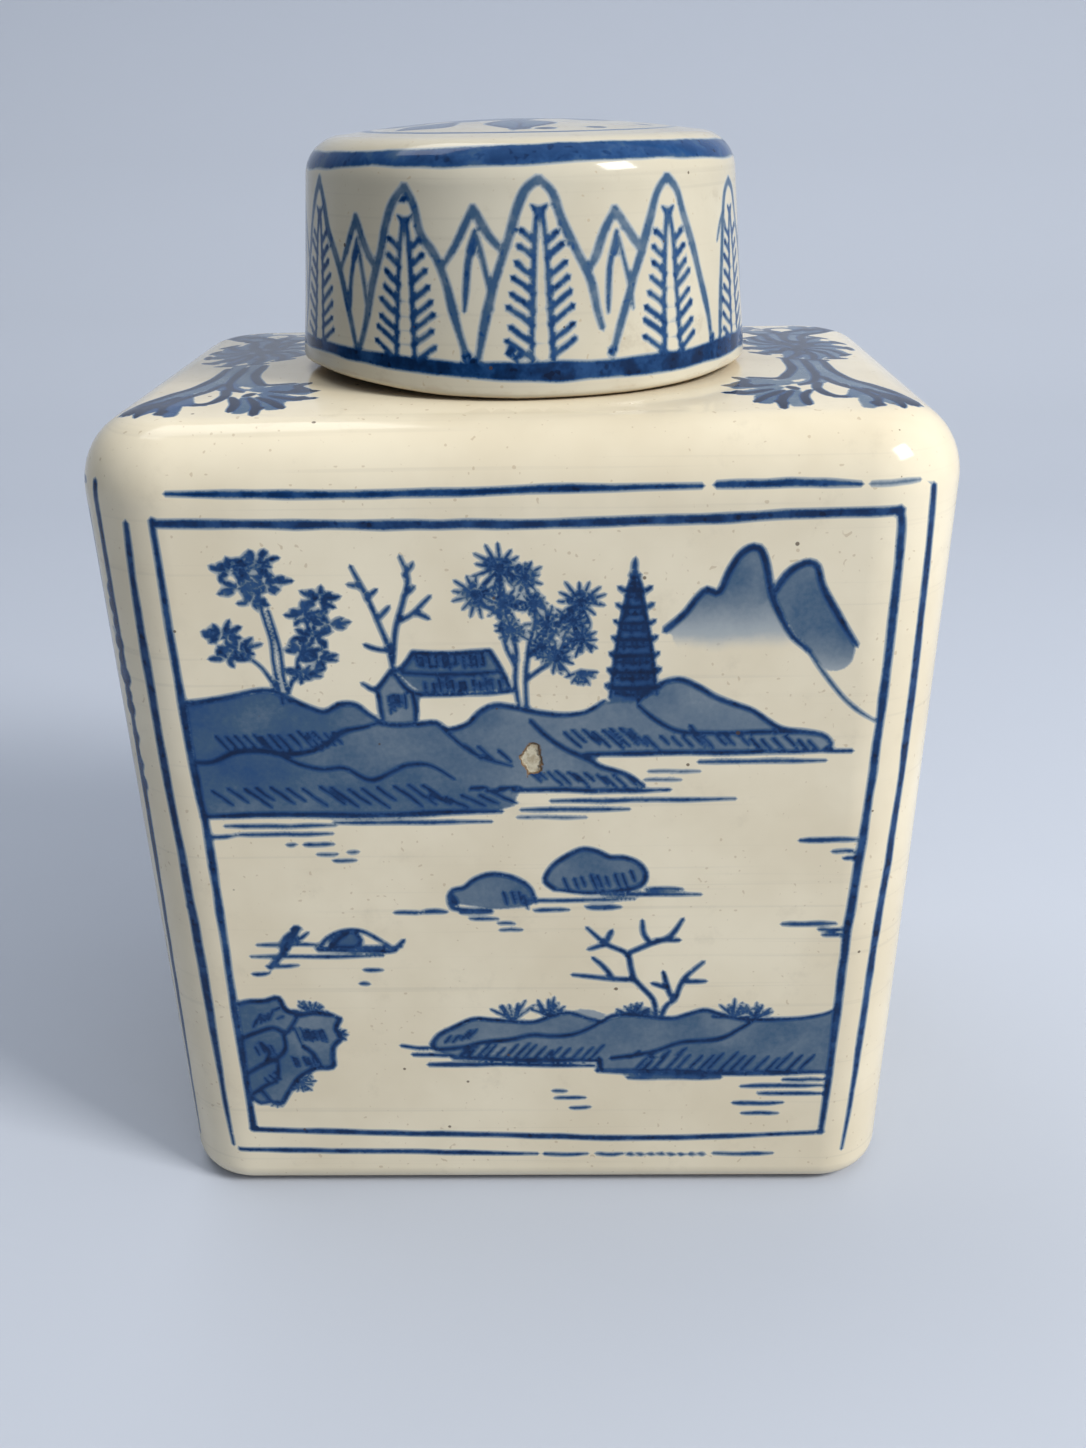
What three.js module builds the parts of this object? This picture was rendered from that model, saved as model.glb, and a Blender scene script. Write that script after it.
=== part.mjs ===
// A lidded ceramic jar: a hollow, slightly tapering rectangular body with rounded corners and a
// round neck, and a loose round cap that slips over the neck and stands on the shoulder.
// Millimetres, +Z up. The origin is the centre of the underside and the front faces -Y.

import * as THREE from 'three';
import { mergeVertices } from 'three/addons/utils/BufferGeometryUtils.js';

// Body, outside
const bodyHeight = 114.4;          // underside to the flat of the shoulder, without its rise
const shoulderWidth = 110;         // across the front, at the level of the shoulder
const shoulderDepth = 81.4;        // front to back, at the same level
const wallLean = 3.2;              // every wall comes in by this much from there to the underside
const cornerRadiusTop = 13.4;      // the upright corners are rounder above than below
const cornerRadiusBase = 9.8;
const baseEdgeRadius = 3.6;        // the round between the underside and the walls
const shoulderEdgeInset = 8.4;     // the soft edge between wall and shoulder, measured inward
const shoulderEdgeDrop = 9.4;      // and measured downward
const shoulderRise = 0.8;          // the shoulder swells this much towards the lid

// Body, inside
const wall = 4.6;
const floorThickness = 6;
const shoulderThickness = 5;
const innerEdgeRadius = 5;         // the round where the inner walls meet the floor and the shoulder

// Lid, outside
const lidRimRadius = 30.5;
const lidTopRadius = 28.6;         // the cap is a little narrower at the top
const lidHeight = 29.4;            // rim to the top edge, without the dome
const lidDome = 1.6;
const lidEdgeRadius = 5.2;         // the round between the side and the top
const lidRimRound = 0.8;

// Lid, inside
const lidWall = 3.2;
const lidTopThickness = 3.6;
const lidInnerEdgeRadius = 3.4;

// Neck, and how the cap sits on it
const neckHeight = 13;
const neckWall = 3.2;
const lidClearance = 0.9;          // between the neck and the inside of the cap, at the neck's lip
const seatGap = 0.2;               // the fired rim doesn't touch the shoulder all the way round
const seatMargin = 1.2;            // the level seat ends this far inside the edge of the rim

// How finely the rounds are cut
const cornerSteps = 8;
const sideSteps = 6;
const lidSegments = 72;
const edgeSteps = 7;
const smallSteps = 3;

const seatZ = bodyHeight + shoulderRise;
const seatRadius = lidRimRadius - seatMargin;
const pointsPerRing = 4 * (cornerSteps + sideSteps);

// The inner radius of the cap at a height above its rim. The wall is as thick at every height.
function lidInnerRadius(height) {
  return THREE.MathUtils.lerp(lidRimRadius, lidTopRadius, height / lidHeight) - lidWall;
}

const neckRadius = lidInnerRadius(neckHeight) - lidClearance;
const boreRadius = neckRadius - neckWall;

// A rounded rectangle at one height, anticlockwise from above, starting where the right side runs
// into the back corner. Every ring has the same number of points, so rings join one to one.
function rectangleRing(halfWidth, halfDepth, radius, z) {
  const r = Math.max(Math.min(radius, halfWidth - 0.5, halfDepth - 0.5), 0.5);
  const corners = [[1, 1, 0], [-1, 1, 90], [-1, -1, 180], [1, -1, 270]];
  const points = [];
  for (const [signX, signY, startAngle] of corners) {
    const centreX = signX * (halfWidth - r);
    const centreY = signY * (halfDepth - r);
    for (let step = 0; step <= cornerSteps; step += 1) {
      const angle = THREE.MathUtils.degToRad(startAngle + 90 * step / cornerSteps);
      points.push(new THREE.Vector3(centreX + r * Math.cos(angle), centreY + r * Math.sin(angle), z));
    }
    const last = points[points.length - 1];
    const along = startAngle % 180 === 0
      ? new THREE.Vector3(-2 * centreX, 0, 0)
      : new THREE.Vector3(0, -2 * centreY, 0);
    for (let step = 1; step < sideSteps; step += 1) {
      points.push(last.clone().addScaledVector(along, step / sideSteps));
    }
  }
  return points;
}

// A circle with the same count, its points turned to lie opposite those of the rectangles.
function circleRing(radius, z) {
  const points = [];
  for (let index = 0; index < pointsPerRing; index += 1) {
    const turn = (index + sideSteps / 2) / pointsPerRing;
    const angle = 2 * Math.PI * turn;
    points.push(new THREE.Vector3(radius * Math.cos(angle), radius * Math.sin(angle), z));
  }
  return points;
}

// Rings on the way from one ring to another; rise gives the share of the height at each share.
function ringsBetween(from, to, steps, rise) {
  const rings = [];
  for (let step = 1; step < steps; step += 1) {
    const share = step / steps;
    rings.push(from.map((point, index) => {
      const between = point.clone().lerp(to[index], share);
      between.z = THREE.MathUtils.lerp(point.z, to[index].z, rise(share));
      return between;
    }));
  }
  return rings;
}

// Joins rings into one closed solid and closes its two ends with a fan to their centres. The
// rings run from the middle of the underside, up the outside, over the lip and down the inside.
function loft(rings) {
  const first = rings[0];
  const last = rings[rings.length - 1];
  const vertices = rings.flat();
  const lastStart = vertices.length - pointsPerRing;
  const firstCentre = vertices.push(new THREE.Vector3(0, 0, first[0].z)) - 1;
  const lastCentre = vertices.push(new THREE.Vector3(0, 0, last[0].z)) - 1;
  const indices = [];
  for (let index = 0; index < pointsPerRing; index += 1) {
    const next = (index + 1) % pointsPerRing;
    indices.push(firstCentre, next, index);
    for (let ring = 0; ring < rings.length - 1; ring += 1) {
      const low = ring * pointsPerRing;
      const high = low + pointsPerRing;
      indices.push(low + index, low + next, high + next);
      indices.push(low + index, high + next, high + index);
    }
    indices.push(lastStart + index, lastStart + next, lastCentre);
  }
  const geometry = new THREE.BufferGeometry().setFromPoints(vertices);
  geometry.setIndex(indices);
  return geometry;
}

// Half sizes and corner radius of the body at a height, moved inward by an inset.
function bodySection(z, inset) {
  const share = z / bodyHeight;
  const lean = wallLean * (1 - share);
  const halfWidth = shoulderWidth / 2 - lean - inset;
  const halfDepth = shoulderDepth / 2 - lean - inset;
  const radius = THREE.MathUtils.lerp(cornerRadiusBase, cornerRadiusTop, share) - inset;
  return [halfWidth, halfDepth, radius];
}

function bodyRing(z, inset) {
  return rectangleRing(...bodySection(z, inset), z);
}

function jarBody() {
  const rings = [];
  const quarter = Math.PI / 2;

  // Underside edge, walls and the soft edge of the shoulder
  for (let step = 0; step <= edgeSteps; step += 1) {
    const angle = quarter * step / edgeSteps;
    const inset = baseEdgeRadius * (1 - Math.sin(angle));
    rings.push(bodyRing(baseEdgeRadius * (1 - Math.cos(angle)), inset));
  }
  for (let step = 0; step <= edgeSteps; step += 1) {
    const angle = quarter * step / edgeSteps;
    const z = bodyHeight - shoulderEdgeDrop * (1 - Math.sin(angle));
    rings.push(bodyRing(z, shoulderEdgeInset * (1 - Math.cos(angle))));
  }

  // The shoulder swells gently up to the level seat of the cap, then runs in to the neck
  const shoulderRing = rings[rings.length - 1];
  const seatRing = circleRing(seatRadius, seatZ);
  rings.push(...ringsBetween(shoulderRing, seatRing, 5, (share) => 1 - (1 - share) ** 2));
  rings.push(seatRing);

  // Neck: outside, rounded lip and bore
  const lipZ = seatZ + neckHeight;
  const lipRound = neckWall / 2;
  const lipMiddle = neckRadius - lipRound;
  rings.push(circleRing(neckRadius, seatZ));
  for (let step = 0; step <= 2 * smallSteps; step += 1) {
    const angle = Math.PI * step / (2 * smallSteps);
    rings.push(circleRing(lipMiddle + lipRound * Math.cos(angle), lipZ - lipRound * (1 - Math.sin(angle))));
  }

  // Inside: the bore opens under the shoulder into the room between the walls
  const ceilingZ = bodyHeight - shoulderThickness;
  rings.push(circleRing(boreRadius, ceilingZ));
  const ceilingRing = bodyRing(ceilingZ, wall + innerEdgeRadius);
  rings.push(...ringsBetween(circleRing(boreRadius, ceilingZ), ceilingRing, 2, () => 0));
  for (let step = 0; step <= smallSteps; step += 1) {
    const angle = quarter * step / smallSteps;
    const z = ceilingZ - innerEdgeRadius * (1 - Math.cos(angle));
    rings.push(bodyRing(z, wall + innerEdgeRadius * (1 - Math.sin(angle))));
  }
  for (let step = 0; step <= smallSteps; step += 1) {
    const angle = quarter * step / smallSteps;
    const z = floorThickness + innerEdgeRadius * (1 - Math.sin(angle));
    rings.push(bodyRing(z, wall + innerEdgeRadius * (1 - Math.cos(angle))));
  }
  return loft(rings);
}

// A quarter circle as 2-D points, around a centre, between two angles in degrees.
function arc(centreX, centreY, radius, fromDegrees, toDegrees, steps) {
  const points = [];
  for (let step = 0; step <= steps; step += 1) {
    const angle = THREE.MathUtils.degToRad(THREE.MathUtils.lerp(fromDegrees, toDegrees, step / steps));
    points.push(new THREE.Vector2(centreX + radius * Math.cos(angle), centreY + radius * Math.sin(angle)));
  }
  return points;
}

// The cap is turned: its profile runs from the axis under the top, down the inside, round the
// rim, up the outside and over the low dome back to the axis.
function lidGeometry() {
  const ceiling = lidHeight - lidTopThickness;
  const innerCornerRadius = lidInnerRadius(ceiling) - lidInnerEdgeRadius;
  const topFlatRadius = lidTopRadius - lidEdgeRadius;
  const profile = [new THREE.Vector2(0, ceiling)];
  profile.push(...arc(innerCornerRadius, ceiling - lidInnerEdgeRadius, lidInnerEdgeRadius, 90, 0, 4));
  const innerRimRadius = lidRimRadius - lidWall + lidRimRound;
  const outerRimRadius = lidRimRadius - lidRimRound;
  profile.push(...arc(innerRimRadius, lidRimRound, lidRimRound, 180, 270, smallSteps));
  profile.push(...arc(outerRimRadius, lidRimRound, lidRimRound, 270, 360, smallSteps));
  profile.push(...arc(topFlatRadius, lidHeight - lidEdgeRadius, lidEdgeRadius, 0, 90, edgeSteps));
  for (let step = 1; step <= 4; step += 1) {
    const share = step / 4;
    const radius = topFlatRadius * (1 - share);
    profile.push(new THREE.Vector2(radius, lidHeight + lidDome * (1 - (1 - share) ** 2)));
  }
  profile[profile.length - 1].x = 0;
  const turned = new THREE.LatheGeometry(profile, lidSegments);
  turned.rotateX(Math.PI / 2);
  turned.deleteAttribute('normal');
  turned.deleteAttribute('uv');
  return mergeVertices(turned, 0.0001);
}

const glaze = new THREE.MeshStandardMaterial({ color: 0xdcd3bb, roughness: 0.16, metalness: 0 });
const lidGlaze = new THREE.MeshStandardMaterial({ color: 0xcfc9b6, roughness: 0.16, metalness: 0 });

const jar = new THREE.Group();

const body = new THREE.Mesh(jarBody(), glaze);
body.name = 'jar_body';
jar.add(body);

const lid = new THREE.Mesh(lidGeometry(), lidGlaze);
lid.name = 'lid';
lid.position.z = seatZ + seatGap;
jar.add(lid);

export default jar;
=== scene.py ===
import math

import bpy
import numpy as np
from mathutils import Matrix, Vector
from mathutils.geometry import delaunay_2d_cdt


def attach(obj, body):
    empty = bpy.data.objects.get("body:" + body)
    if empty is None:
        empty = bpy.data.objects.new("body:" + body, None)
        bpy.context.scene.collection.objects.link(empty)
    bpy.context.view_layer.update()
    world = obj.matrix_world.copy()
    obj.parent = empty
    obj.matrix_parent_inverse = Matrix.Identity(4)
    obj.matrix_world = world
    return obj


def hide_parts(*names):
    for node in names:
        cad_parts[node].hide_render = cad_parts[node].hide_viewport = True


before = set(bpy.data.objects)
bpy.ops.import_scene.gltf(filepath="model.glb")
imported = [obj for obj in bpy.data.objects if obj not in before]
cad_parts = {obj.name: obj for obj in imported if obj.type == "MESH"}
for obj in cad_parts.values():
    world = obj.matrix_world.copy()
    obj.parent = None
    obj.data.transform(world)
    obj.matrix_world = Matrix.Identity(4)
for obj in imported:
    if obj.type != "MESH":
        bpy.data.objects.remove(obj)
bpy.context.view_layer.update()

# The jar: a hollow stoneware body with soft corners, pressed in a mould. It was painted with a
# fine brush in cobalt on the dry clay, dipped in a creamy glaze and fired. It stands on its flat
# bare underside. Sizes are in millimetres, and the front faces -Y.

HEIGHT = 114.4
SHOULDER_HALF_WIDTH = 55.0
SHOULDER_HALF_DEPTH = 40.7
WALL_LEAN = 3.2
CORNER_TOP = 13.4
CORNER_BASE = 9.8
BASE_EDGE = 3.6
EDGE_INSET = 8.4
EDGE_DROP = 9.4
SHOULDER_RISE = 0.8
WALL = 4.6
FLOOR = 6.0
CEILING = HEIGHT - 5.0
INNER_EDGE = 5.0
SEAT = HEIGHT + SHOULDER_RISE
SEAT_RADIUS = 29.3
NECK_RADIUS = 25.5
NECK_WALL = 3.2
NECK_HEIGHT = 13.0
MM = 0.001

QUARTER = math.pi / 2

# The painting is kept on the vertices, as how far each is outside the nearest stroke, up to FAR.
# Extra vertices lie EDGE_ROOM outside each edge. A wash covers places up to WASH_REACH from its
# outline. The dice give each stroke its small unevenness, the same on every run.
EDGE_ROOM = 0.4
FAR = 1.5
WASH_REACH = 60.0
dice = np.random.default_rng(11)


def flowing(points, step):
    """A soft curve through a few points, as evenly spaced points at most a step apart."""
    given = np.array(points, float)
    dense = given
    if len(given) > 2:
        ends = np.vstack([2 * given[0] - given[1], given, 2 * given[-1] - given[-2]])
        t = np.linspace(0, 1, 9)[:-1, None]
        parts = []
        for a, b, c, d in zip(ends, ends[1:], ends[2:], ends[3:]):
            bend = (2 * a - 5 * b + 4 * c - d) * t**2 + (3 * b - a - 3 * c + d) * t**3
            parts.append(b + 0.5 * ((c - a) * t + bend))
        dense = np.vstack(parts + [given[-1:]])
    length = np.r_[0, np.cumsum(np.hypot(*np.diff(dense, axis=0).T))]
    along = np.linspace(0, length[-1], max(2, math.ceil(length[-1] / step) + 1))
    return np.stack([np.interp(along, length, dense[:, k]) for k in (0, 1)], -1)


def cornered(points, step):
    """Straight runs between points, broken into steps."""
    runs = [flowing(pair, step)[:-1] for pair in zip(points, points[1:])]
    return np.vstack(runs + [np.array(points[-1:], float)])


def beside(path, sides, reach):
    """Points to the sides of a path, each as far off as the reach says."""
    course = np.gradient(path, axis=0)
    course /= np.maximum(np.hypot(*course.T), 1e-6)[:, None]
    across = np.stack([-course[:, 1], course[:, 0]], -1)
    return [path + across * (side * reach)[:, None] for side in sides]


def distance(where, path, half, reach=FAR):
    """The places near a path, and how far each is outside the path's half width."""
    room = half.max() + reach
    close = ((where >= path.min(0) - room) & (where <= path.max(0) + room)).all(1)
    near = np.flatnonzero(close)
    if not len(near):
        return near, np.zeros(0)
    start, run = path[:-1], np.diff(path, axis=0)
    offset = where[near, None] - start[None]
    share = np.clip((offset * run).sum(-1) / np.maximum((run * run).sum(-1), 1e-9), 0, 1)
    gap = np.hypot(*np.moveaxis(offset - share[..., None] * run, -1, 0))
    gap = gap - (half[:-1] + share * np.diff(half))
    return near, gap.min(1)


def inside(where, ring):
    """Which places lie inside a closed ring."""
    x, y = where[:, :1], where[:, 1:]
    x0, y0 = ring[:-1].T
    x1, y1 = ring[1:].T
    rising = (y0 > y) != (y1 > y)
    cut = x0 + (y - y0) * (x1 - x0) / np.where(y1 == y0, 1e-9, y1 - y0)
    return (rising & (x < cut)).sum(1) % 2 == 1


class Painting:
    """Brushwork on one face: lines and washes of cobalt, in the face's own millimetres."""

    def __init__(self):
        self.lines = []
        self.washes = []

    def line(self, *points, width=0.6, tone=1.0, ends=(0.75, 0.4)):
        """One brush stroke. The brush is set down and lifted as shares of the full width."""
        path = flowing(points, 0.6)
        share = np.linspace(0, 1, len(path))
        start = ends[0] + (1 - ends[0]) * np.clip(share / 0.15, 0, 1)
        stop = ends[1] + (1 - ends[1]) * np.clip((1 - share) / 0.25, 0, 1)
        knots = np.linspace(0, 1, len(path) // 6 + 2)
        press = np.interp(share, knots, dice.uniform(0.84, 1.12, len(knots)))
        sway = np.interp(share, knots, dice.uniform(-0.09, 0.09, len(knots)))
        path[:, 1] += sway * np.sin(np.pi * share)
        path[:, 0] += sway[::-1] * np.sin(np.pi * share)
        self.lines.append((path, width / 2 * press * np.minimum(start, stop), tone))

    def wash(self, *points, tone=0.5, fade=None, soft=True):
        """A patch of thinned cobalt. A pair of tones runs from its left end to its right. A fade
        gives the height below which it is gone and the one above which it is full."""
        ring = list(points) + [points[0]]
        path = flowing(ring, 0.9) if soft else cornered(ring, 0.9)
        tones = tone if isinstance(tone, tuple) else (tone, tone)
        self.washes.append((path, tones, fade))

    def dab(self, *points, width=2.4, tone=0.5, tip=0.35):
        """A wide soft stroke of the wash, thick in the middle and narrower at its ends."""
        path = flowing(points, 0.8)
        share = np.linspace(0, 1, len(path))
        half = width / 2 * (tip + (1 - tip) * np.sin(np.pi * np.clip(share * 0.9 + 0.08, 0, 1)))
        near, far = beside(path, (-1.0, 1.0), half)
        ring = np.vstack([near, far[::-1], near[:1]])
        self.washes.append((ring, (tone, tone), None))

    def detail(self):
        """Places where the mesh needs a vertex, so that the edge of each stroke stays sharp."""
        spots = [path for path, _, _ in self.lines]
        for path, half, _ in self.lines:
            spots += beside(path, (-1.0, 1.0), half + EDGE_ROOM)
            for end, before, reach in ((path[0], path[1], half[0]), (path[-1], path[-2], half[-1])):
                ahead = (end - before) / max(np.hypot(*(end - before)), 1e-6)
                spots.append([end + ahead * (reach + EDGE_ROOM)])
        for path, _, _ in self.washes:
            spots += beside(path, (-1.0, 1.0), np.full(len(path), EDGE_ROOM))
        return np.vstack(spots) if spots else np.zeros((0, 2))

    def read(self, where):
        """For each place: how far it is outside the nearest line and wash, and their tones."""
        line, line_tone = np.full(len(where), FAR), np.ones(len(where))
        wash, wash_tone = np.full(len(where), FAR), np.zeros(len(where))
        for path, half, tone in self.lines:
            near, gap = distance(where, path, half)
            better = gap < line[near]
            line[near[better]] = gap[better]
            line_tone[near[better]] = tone
        for path, tones, fade in self.washes:
            near, gap = distance(where, path, np.zeros(len(path)), WASH_REACH)
            gap = np.where(inside(where[near], path), -gap, gap)
            better = gap < wash[near]
            near, gap = near[better], gap[better]
            wash[near] = gap
            across = (path[:, 0].min(), path[:, 0].max() + 0.01)
            wash_tone[near] = np.interp(where[near, 0], across, tones)
            if fade:
                wash_tone[near] *= np.clip((where[near, 1] - fade[0]) / (fade[1] - fade[0]), 0, 1)
        return {
            "line": line, "line_tone": line_tone, "wash": np.maximum(wash, -FAR),
            "wash_tone": wash_tone}

    def tuft(self, x, z, reach, count=7, span=150.0, aim=90.0, width=0.35):
        """Blades or needles that spread from one point."""
        for k in range(count):
            angle = math.radians(aim + span * (k / max(count - 1, 1) - 0.5) + dice.uniform(-6, 6))
            length = reach * dice.uniform(0.75, 1.1)
            tip = (x + length * math.cos(angle), z + length * math.sin(angle))
            self.line((x, z), tip, width=width, ends=(1.0, 0.45))

    def star(self, x, z, reach, count=9, width=0.42):
        """A head of pine needles or a clump of leaves: strokes out from a dark heart."""
        span = 360.0 * (count - 1) / count
        self.tuft(x, z, reach, count, span, dice.uniform(0, 360), width)

    def foliage(self, x, z, wide, tall, count):
        """A clump of short rounded dabs that point outward from its middle."""
        for k in range(count):
            angle = 2.4 * k + dice.uniform(-0.3, 0.3)
            share = math.sqrt((k + 0.4) / count)
            start = (x + wide * share * math.cos(angle), z + tall * share * math.sin(angle))
            size = dice.uniform(0.9, 1.6)
            tip = (start[0] + size * math.cos(angle), start[1] + size * 0.55 * math.sin(angle) + 0.1)
            self.line(start, tip, width=dice.uniform(0.52, 0.74), tone=0.95, ends=(0.9, 0.6))

    def hatch(self, *rows):
        """Rows of short slanting strokes. Each row runs from one point to another, and says how
        many strokes it has, how they slant and how wide they are."""
        for start, stop, count, slant, width in rows:
            for k in range(count):
                share = (k + dice.uniform(0.3, 0.7)) / count
                x = start[0] + (stop[0] - start[0]) * share
                z = start[1] + (stop[1] - start[1]) * share + dice.uniform(-0.3, 0.3)
                size = dice.uniform(0.65, 1.1)
                tip = (x + slant[0] * size, z + slant[1] * size)
                self.line((x, z), tip, width=width, ends=(1.0, 0.5))

    def ripple(self, *runs, width=0.5, tone=0.9):
        """Level strokes of still water, each from one x to another at a height."""
        for x0, x1, z in runs:
            middle = ((x0 + x1) / 2, z + dice.uniform(-0.12, 0.12))
            self.line(
                (x0, z), middle, (x1, z + dice.uniform(-0.1, 0.15)), width=width, tone=tone,
                ends=(0.5, 0.3))

    def branches(self, *runs, width=0.5):
        """Firm strokes of one width, such as twigs, roofs and the crests of hills."""
        for run in runs:
            self.line(*run, width=width, ends=(1.0, 0.6))


# The front picture: an open double frame round a river landscape with wooded hills, a pavilion
# under pines, a pagoda and far peaks, a ferry, and rocks and a bare tree on the near bank.

front = Painting()
front.line(
    (-43.5, 103.2), (-30, 103), (-20, 102.8), (0, 102.7), (20, 103), (33, 103.5), (45.4, 103.7),
    width=1.0, ends=(1.0, 1.0))
front.line(
    (-43.7, 103.6), (-43.5, 97), (-43.2, 85), (-42.7, 72), (-42, 60), (-41.6, 40), (-41.2, 22),
    (-41, 11), width=0.95, ends=(0.6, 0.9))
front.line(
    (-41.2, 11.1), (-39, 10.8), (-20, 10.1), (0, 9.5), (12, 9.1), (25, 9.2), (42.2, 10), width=0.85,
    ends=(0.9, 0.6))
front.line(
    (45.3, 103.8), (45.7, 100), (45.5, 85), (44.9, 70), (44.1, 56), (43.3, 45), (42.8, 30), (42.5, 20),
    (42, 10), width=1.05, ends=(0.9, 0.6))
front.line(
    (-41.6, 106.8), (-28, 106.6), (-14, 106.5), (0, 106.8), (13, 106.9), (21.7, 107), width=0.8,
    ends=(0.5, 0.5))
front.line((23.4, 107.1), (31, 107.2), (40.3, 107), width=0.85)
front.line((41.5, 107), (47.8, 107.1), width=0.5, tone=0.6)
front.line(
    (-47.3, 103), (-47.5, 95), (-47.3, 84), (-46.9, 72), (-46.1, 57), (-45.6, 44), (-45.1, 28),
    (-44.8, 15), (-44.4, 7.8), width=1.15, ends=(0.6, 0.3))
front.line((-46.1, 48.9), (-45.6, 48.2), width=1.2)
front.line(
    (50, 106), (50.2, 98), (50.1, 84), (49.7, 70), (48.8, 55), (47.8, 42), (46.9, 26), (46.2, 14),
    (45.5, 6.3), width=1.15, ends=(0.7, 0.3))
front.line((-43.4, 7.1), (-30, 6.8), (-15, 6.5), (-5, 6.2), (0.6, 6.1), width=0.7)
for x0, x1 in ((1.6, 8), (9.3, 13.2), (26.5, 35.2)):
    front.line((x0, 6.1), ((x0 + x1) / 2, 5.9), (x1, 6.1), width=0.55, tone=0.8)
for x in np.arange(14, 26, 1.5):
    front.line((x, 6), (x + 0.7, 5.9), width=0.6, tone=0.7)

# The leafy tree on the left
front.branches(
    ((-30.2, 79.5), (-30.7, 84), (-30.9, 88), (-31.6, 92), (-32, 94.5)),
    ((-29.2, 79.8), (-29.8, 83), (-29.9, 87), (-30.8, 92)), ((-30.6, 81), (-32.5, 84.5), (-35.5, 87)),
    ((-29.4, 81), (-27.8, 85), (-26.5, 89), (-25.5, 92)), ((-28.8, 82.5), (-26.5, 84.5)), width=0.35)
for clump in (
        (-34.6, 97.4, 1.7, 1.1, 12), (-31.8, 98.3, 1.9, 1.0, 13), (-34, 95, 2.0, 0.9, 13),
        (-31, 95.6, 1.9, 1.1, 14), (-32.6, 93.2, 1.1, 0.7, 6), (-36.8, 89, 1.6, 0.9, 12),
        (-35, 87, 1.9, 0.9, 13), (-36.4, 85.8, 1.2, 0.6, 6), (-24.4, 93.4, 1.7, 1.0, 13),
        (-26.6, 91.4, 1.3, 0.9, 9), (-23.4, 90.2, 1.5, 0.8, 10), (-25.6, 88.6, 1.7, 0.9, 12),
        (-27.2, 86.6, 1.2, 0.8, 9), (-25, 85.6, 1.3, 0.7, 9), (-27.2, 83.6, 1.4, 0.8, 10)):
    front.foliage(*clump)

# Bare twigs
front.branches(
    ((-16, 83.8), (-16.4, 87), (-17.4, 90.3), (-18.7, 93.8), (-20.3, 97.6)),
    ((-16, 85), (-15.3, 89.5), (-14.2, 93), (-13.5, 96), (-14.3, 98.8)),
    ((-16.4, 86.6), (-18, 86.9), (-19.3, 87.4)), ((-17.6, 90.6), (-16, 92.4)),
    ((-18.7, 93.5), (-17.4, 94.6)), ((-19.2, 95), (-20.8, 95.3)),
    ((-15, 90.4), (-13, 91.6), (-10.9, 93.7)), ((-12.8, 91.6), (-11.2, 90.8)),
    ((-13.9, 96.4), (-12.8, 97.9)), ((-14.1, 93.8), (-12.8, 94.9)))

# The pavilion under the pines
front.wash(
    (-15.8, 83.8), (-13.4, 86.3), (-4, 86.3), (-2.6, 84.6), (-1.4, 81.2), (-12.6, 80.7), tone=0.6,
    soft=False)
front.wash(
    (-18.4, 81.5), (-16.2, 83.9), (-12.8, 80.6), (-13.6, 76.6), (-17.7, 76.7), tone=0.5, soft=False)
front.branches(
    ((-13.4, 86.3), (-9, 86.1), (-3.9, 86.5)), ((-13.4, 86.3), (-14.8, 84.3), (-16.2, 83.8)),
    ((-3.9, 86.4), (-2.8, 84.2), (-1.4, 81.2)), ((-14.8, 83.6), (-9, 83.3), (-3, 83.6)),
    ((-16.3, 83.9), (-18.3, 81.4), (-20, 82.2)), ((-16.1, 83.8), (-14.2, 81.2), (-12.6, 80.6)),
    ((-12.8, 80.6), (-7, 80.6), (-1.2, 81)), ((-18.1, 81), (-17.9, 79), (-17.7, 76.7)),
    ((-13.7, 80.6), (-13.4, 78.5), (-13.6, 76.6)), ((-17.8, 76.6), (-15.5, 76.4), (-13.4, 76.6)),
    width=0.55)
front.hatch(
    ((-13.6, 85.9), (-4.4, 85.9), 11, (0.2, -1.5), 0.45),
    ((-12.4, 82.3), (-2.4, 82.5), 12, (0.2, -1.5), 0.45),
    ((-17.2, 80.6), (-14.4, 80.8), 4, (0.1, -2.2), 0.35),
    ((-13.2, 84.6), (-4.4, 84.6), 8, (0.5, 0.1), 0.5))

# The pair of pines
front.branches(
    ((-0.4, 78.6), (-0.8, 82), (-0.6, 86), (-1.4, 90)),
    ((0.5, 78.6), (0.5, 83), (1, 87), (1.9, 90.5), (0.9, 95)),
    ((1, 86), (3.4, 87.6), (5.4, 90.8), (7.3, 92.6)), ((0.6, 82.6), (3, 84.4), (5.2, 86.6), (7, 88.4)),
    ((-0.8, 84.5), (-2, 87.5), (-2.4, 92), (-2.4, 96.6)), ((-2.3, 91), (-4, 92.2), (-5.6, 93.4)),
    width=0.45)
for x, z, reach in (
        (-2.4, 97.2, 3.3), (-5.4, 93.8, 2.9), (0.6, 96, 2.2), (-2, 92.6, 2.4), (-1.2, 89.2, 2.1),
        (7.4, 92.7, 2.9), (3.2, 89.8, 2.6), (6.4, 90.2, 2.4), (4.3, 85.4, 2.3), (7.4, 87.8, 2.2),
        (1.6, 92.6, 1.8), (2.6, 86.9, 1.9)):
    front.star(x, z, reach, 13, width=0.38)
front.tuft(7.4, 83.6, 2.1, 7, 150, 280)

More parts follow.
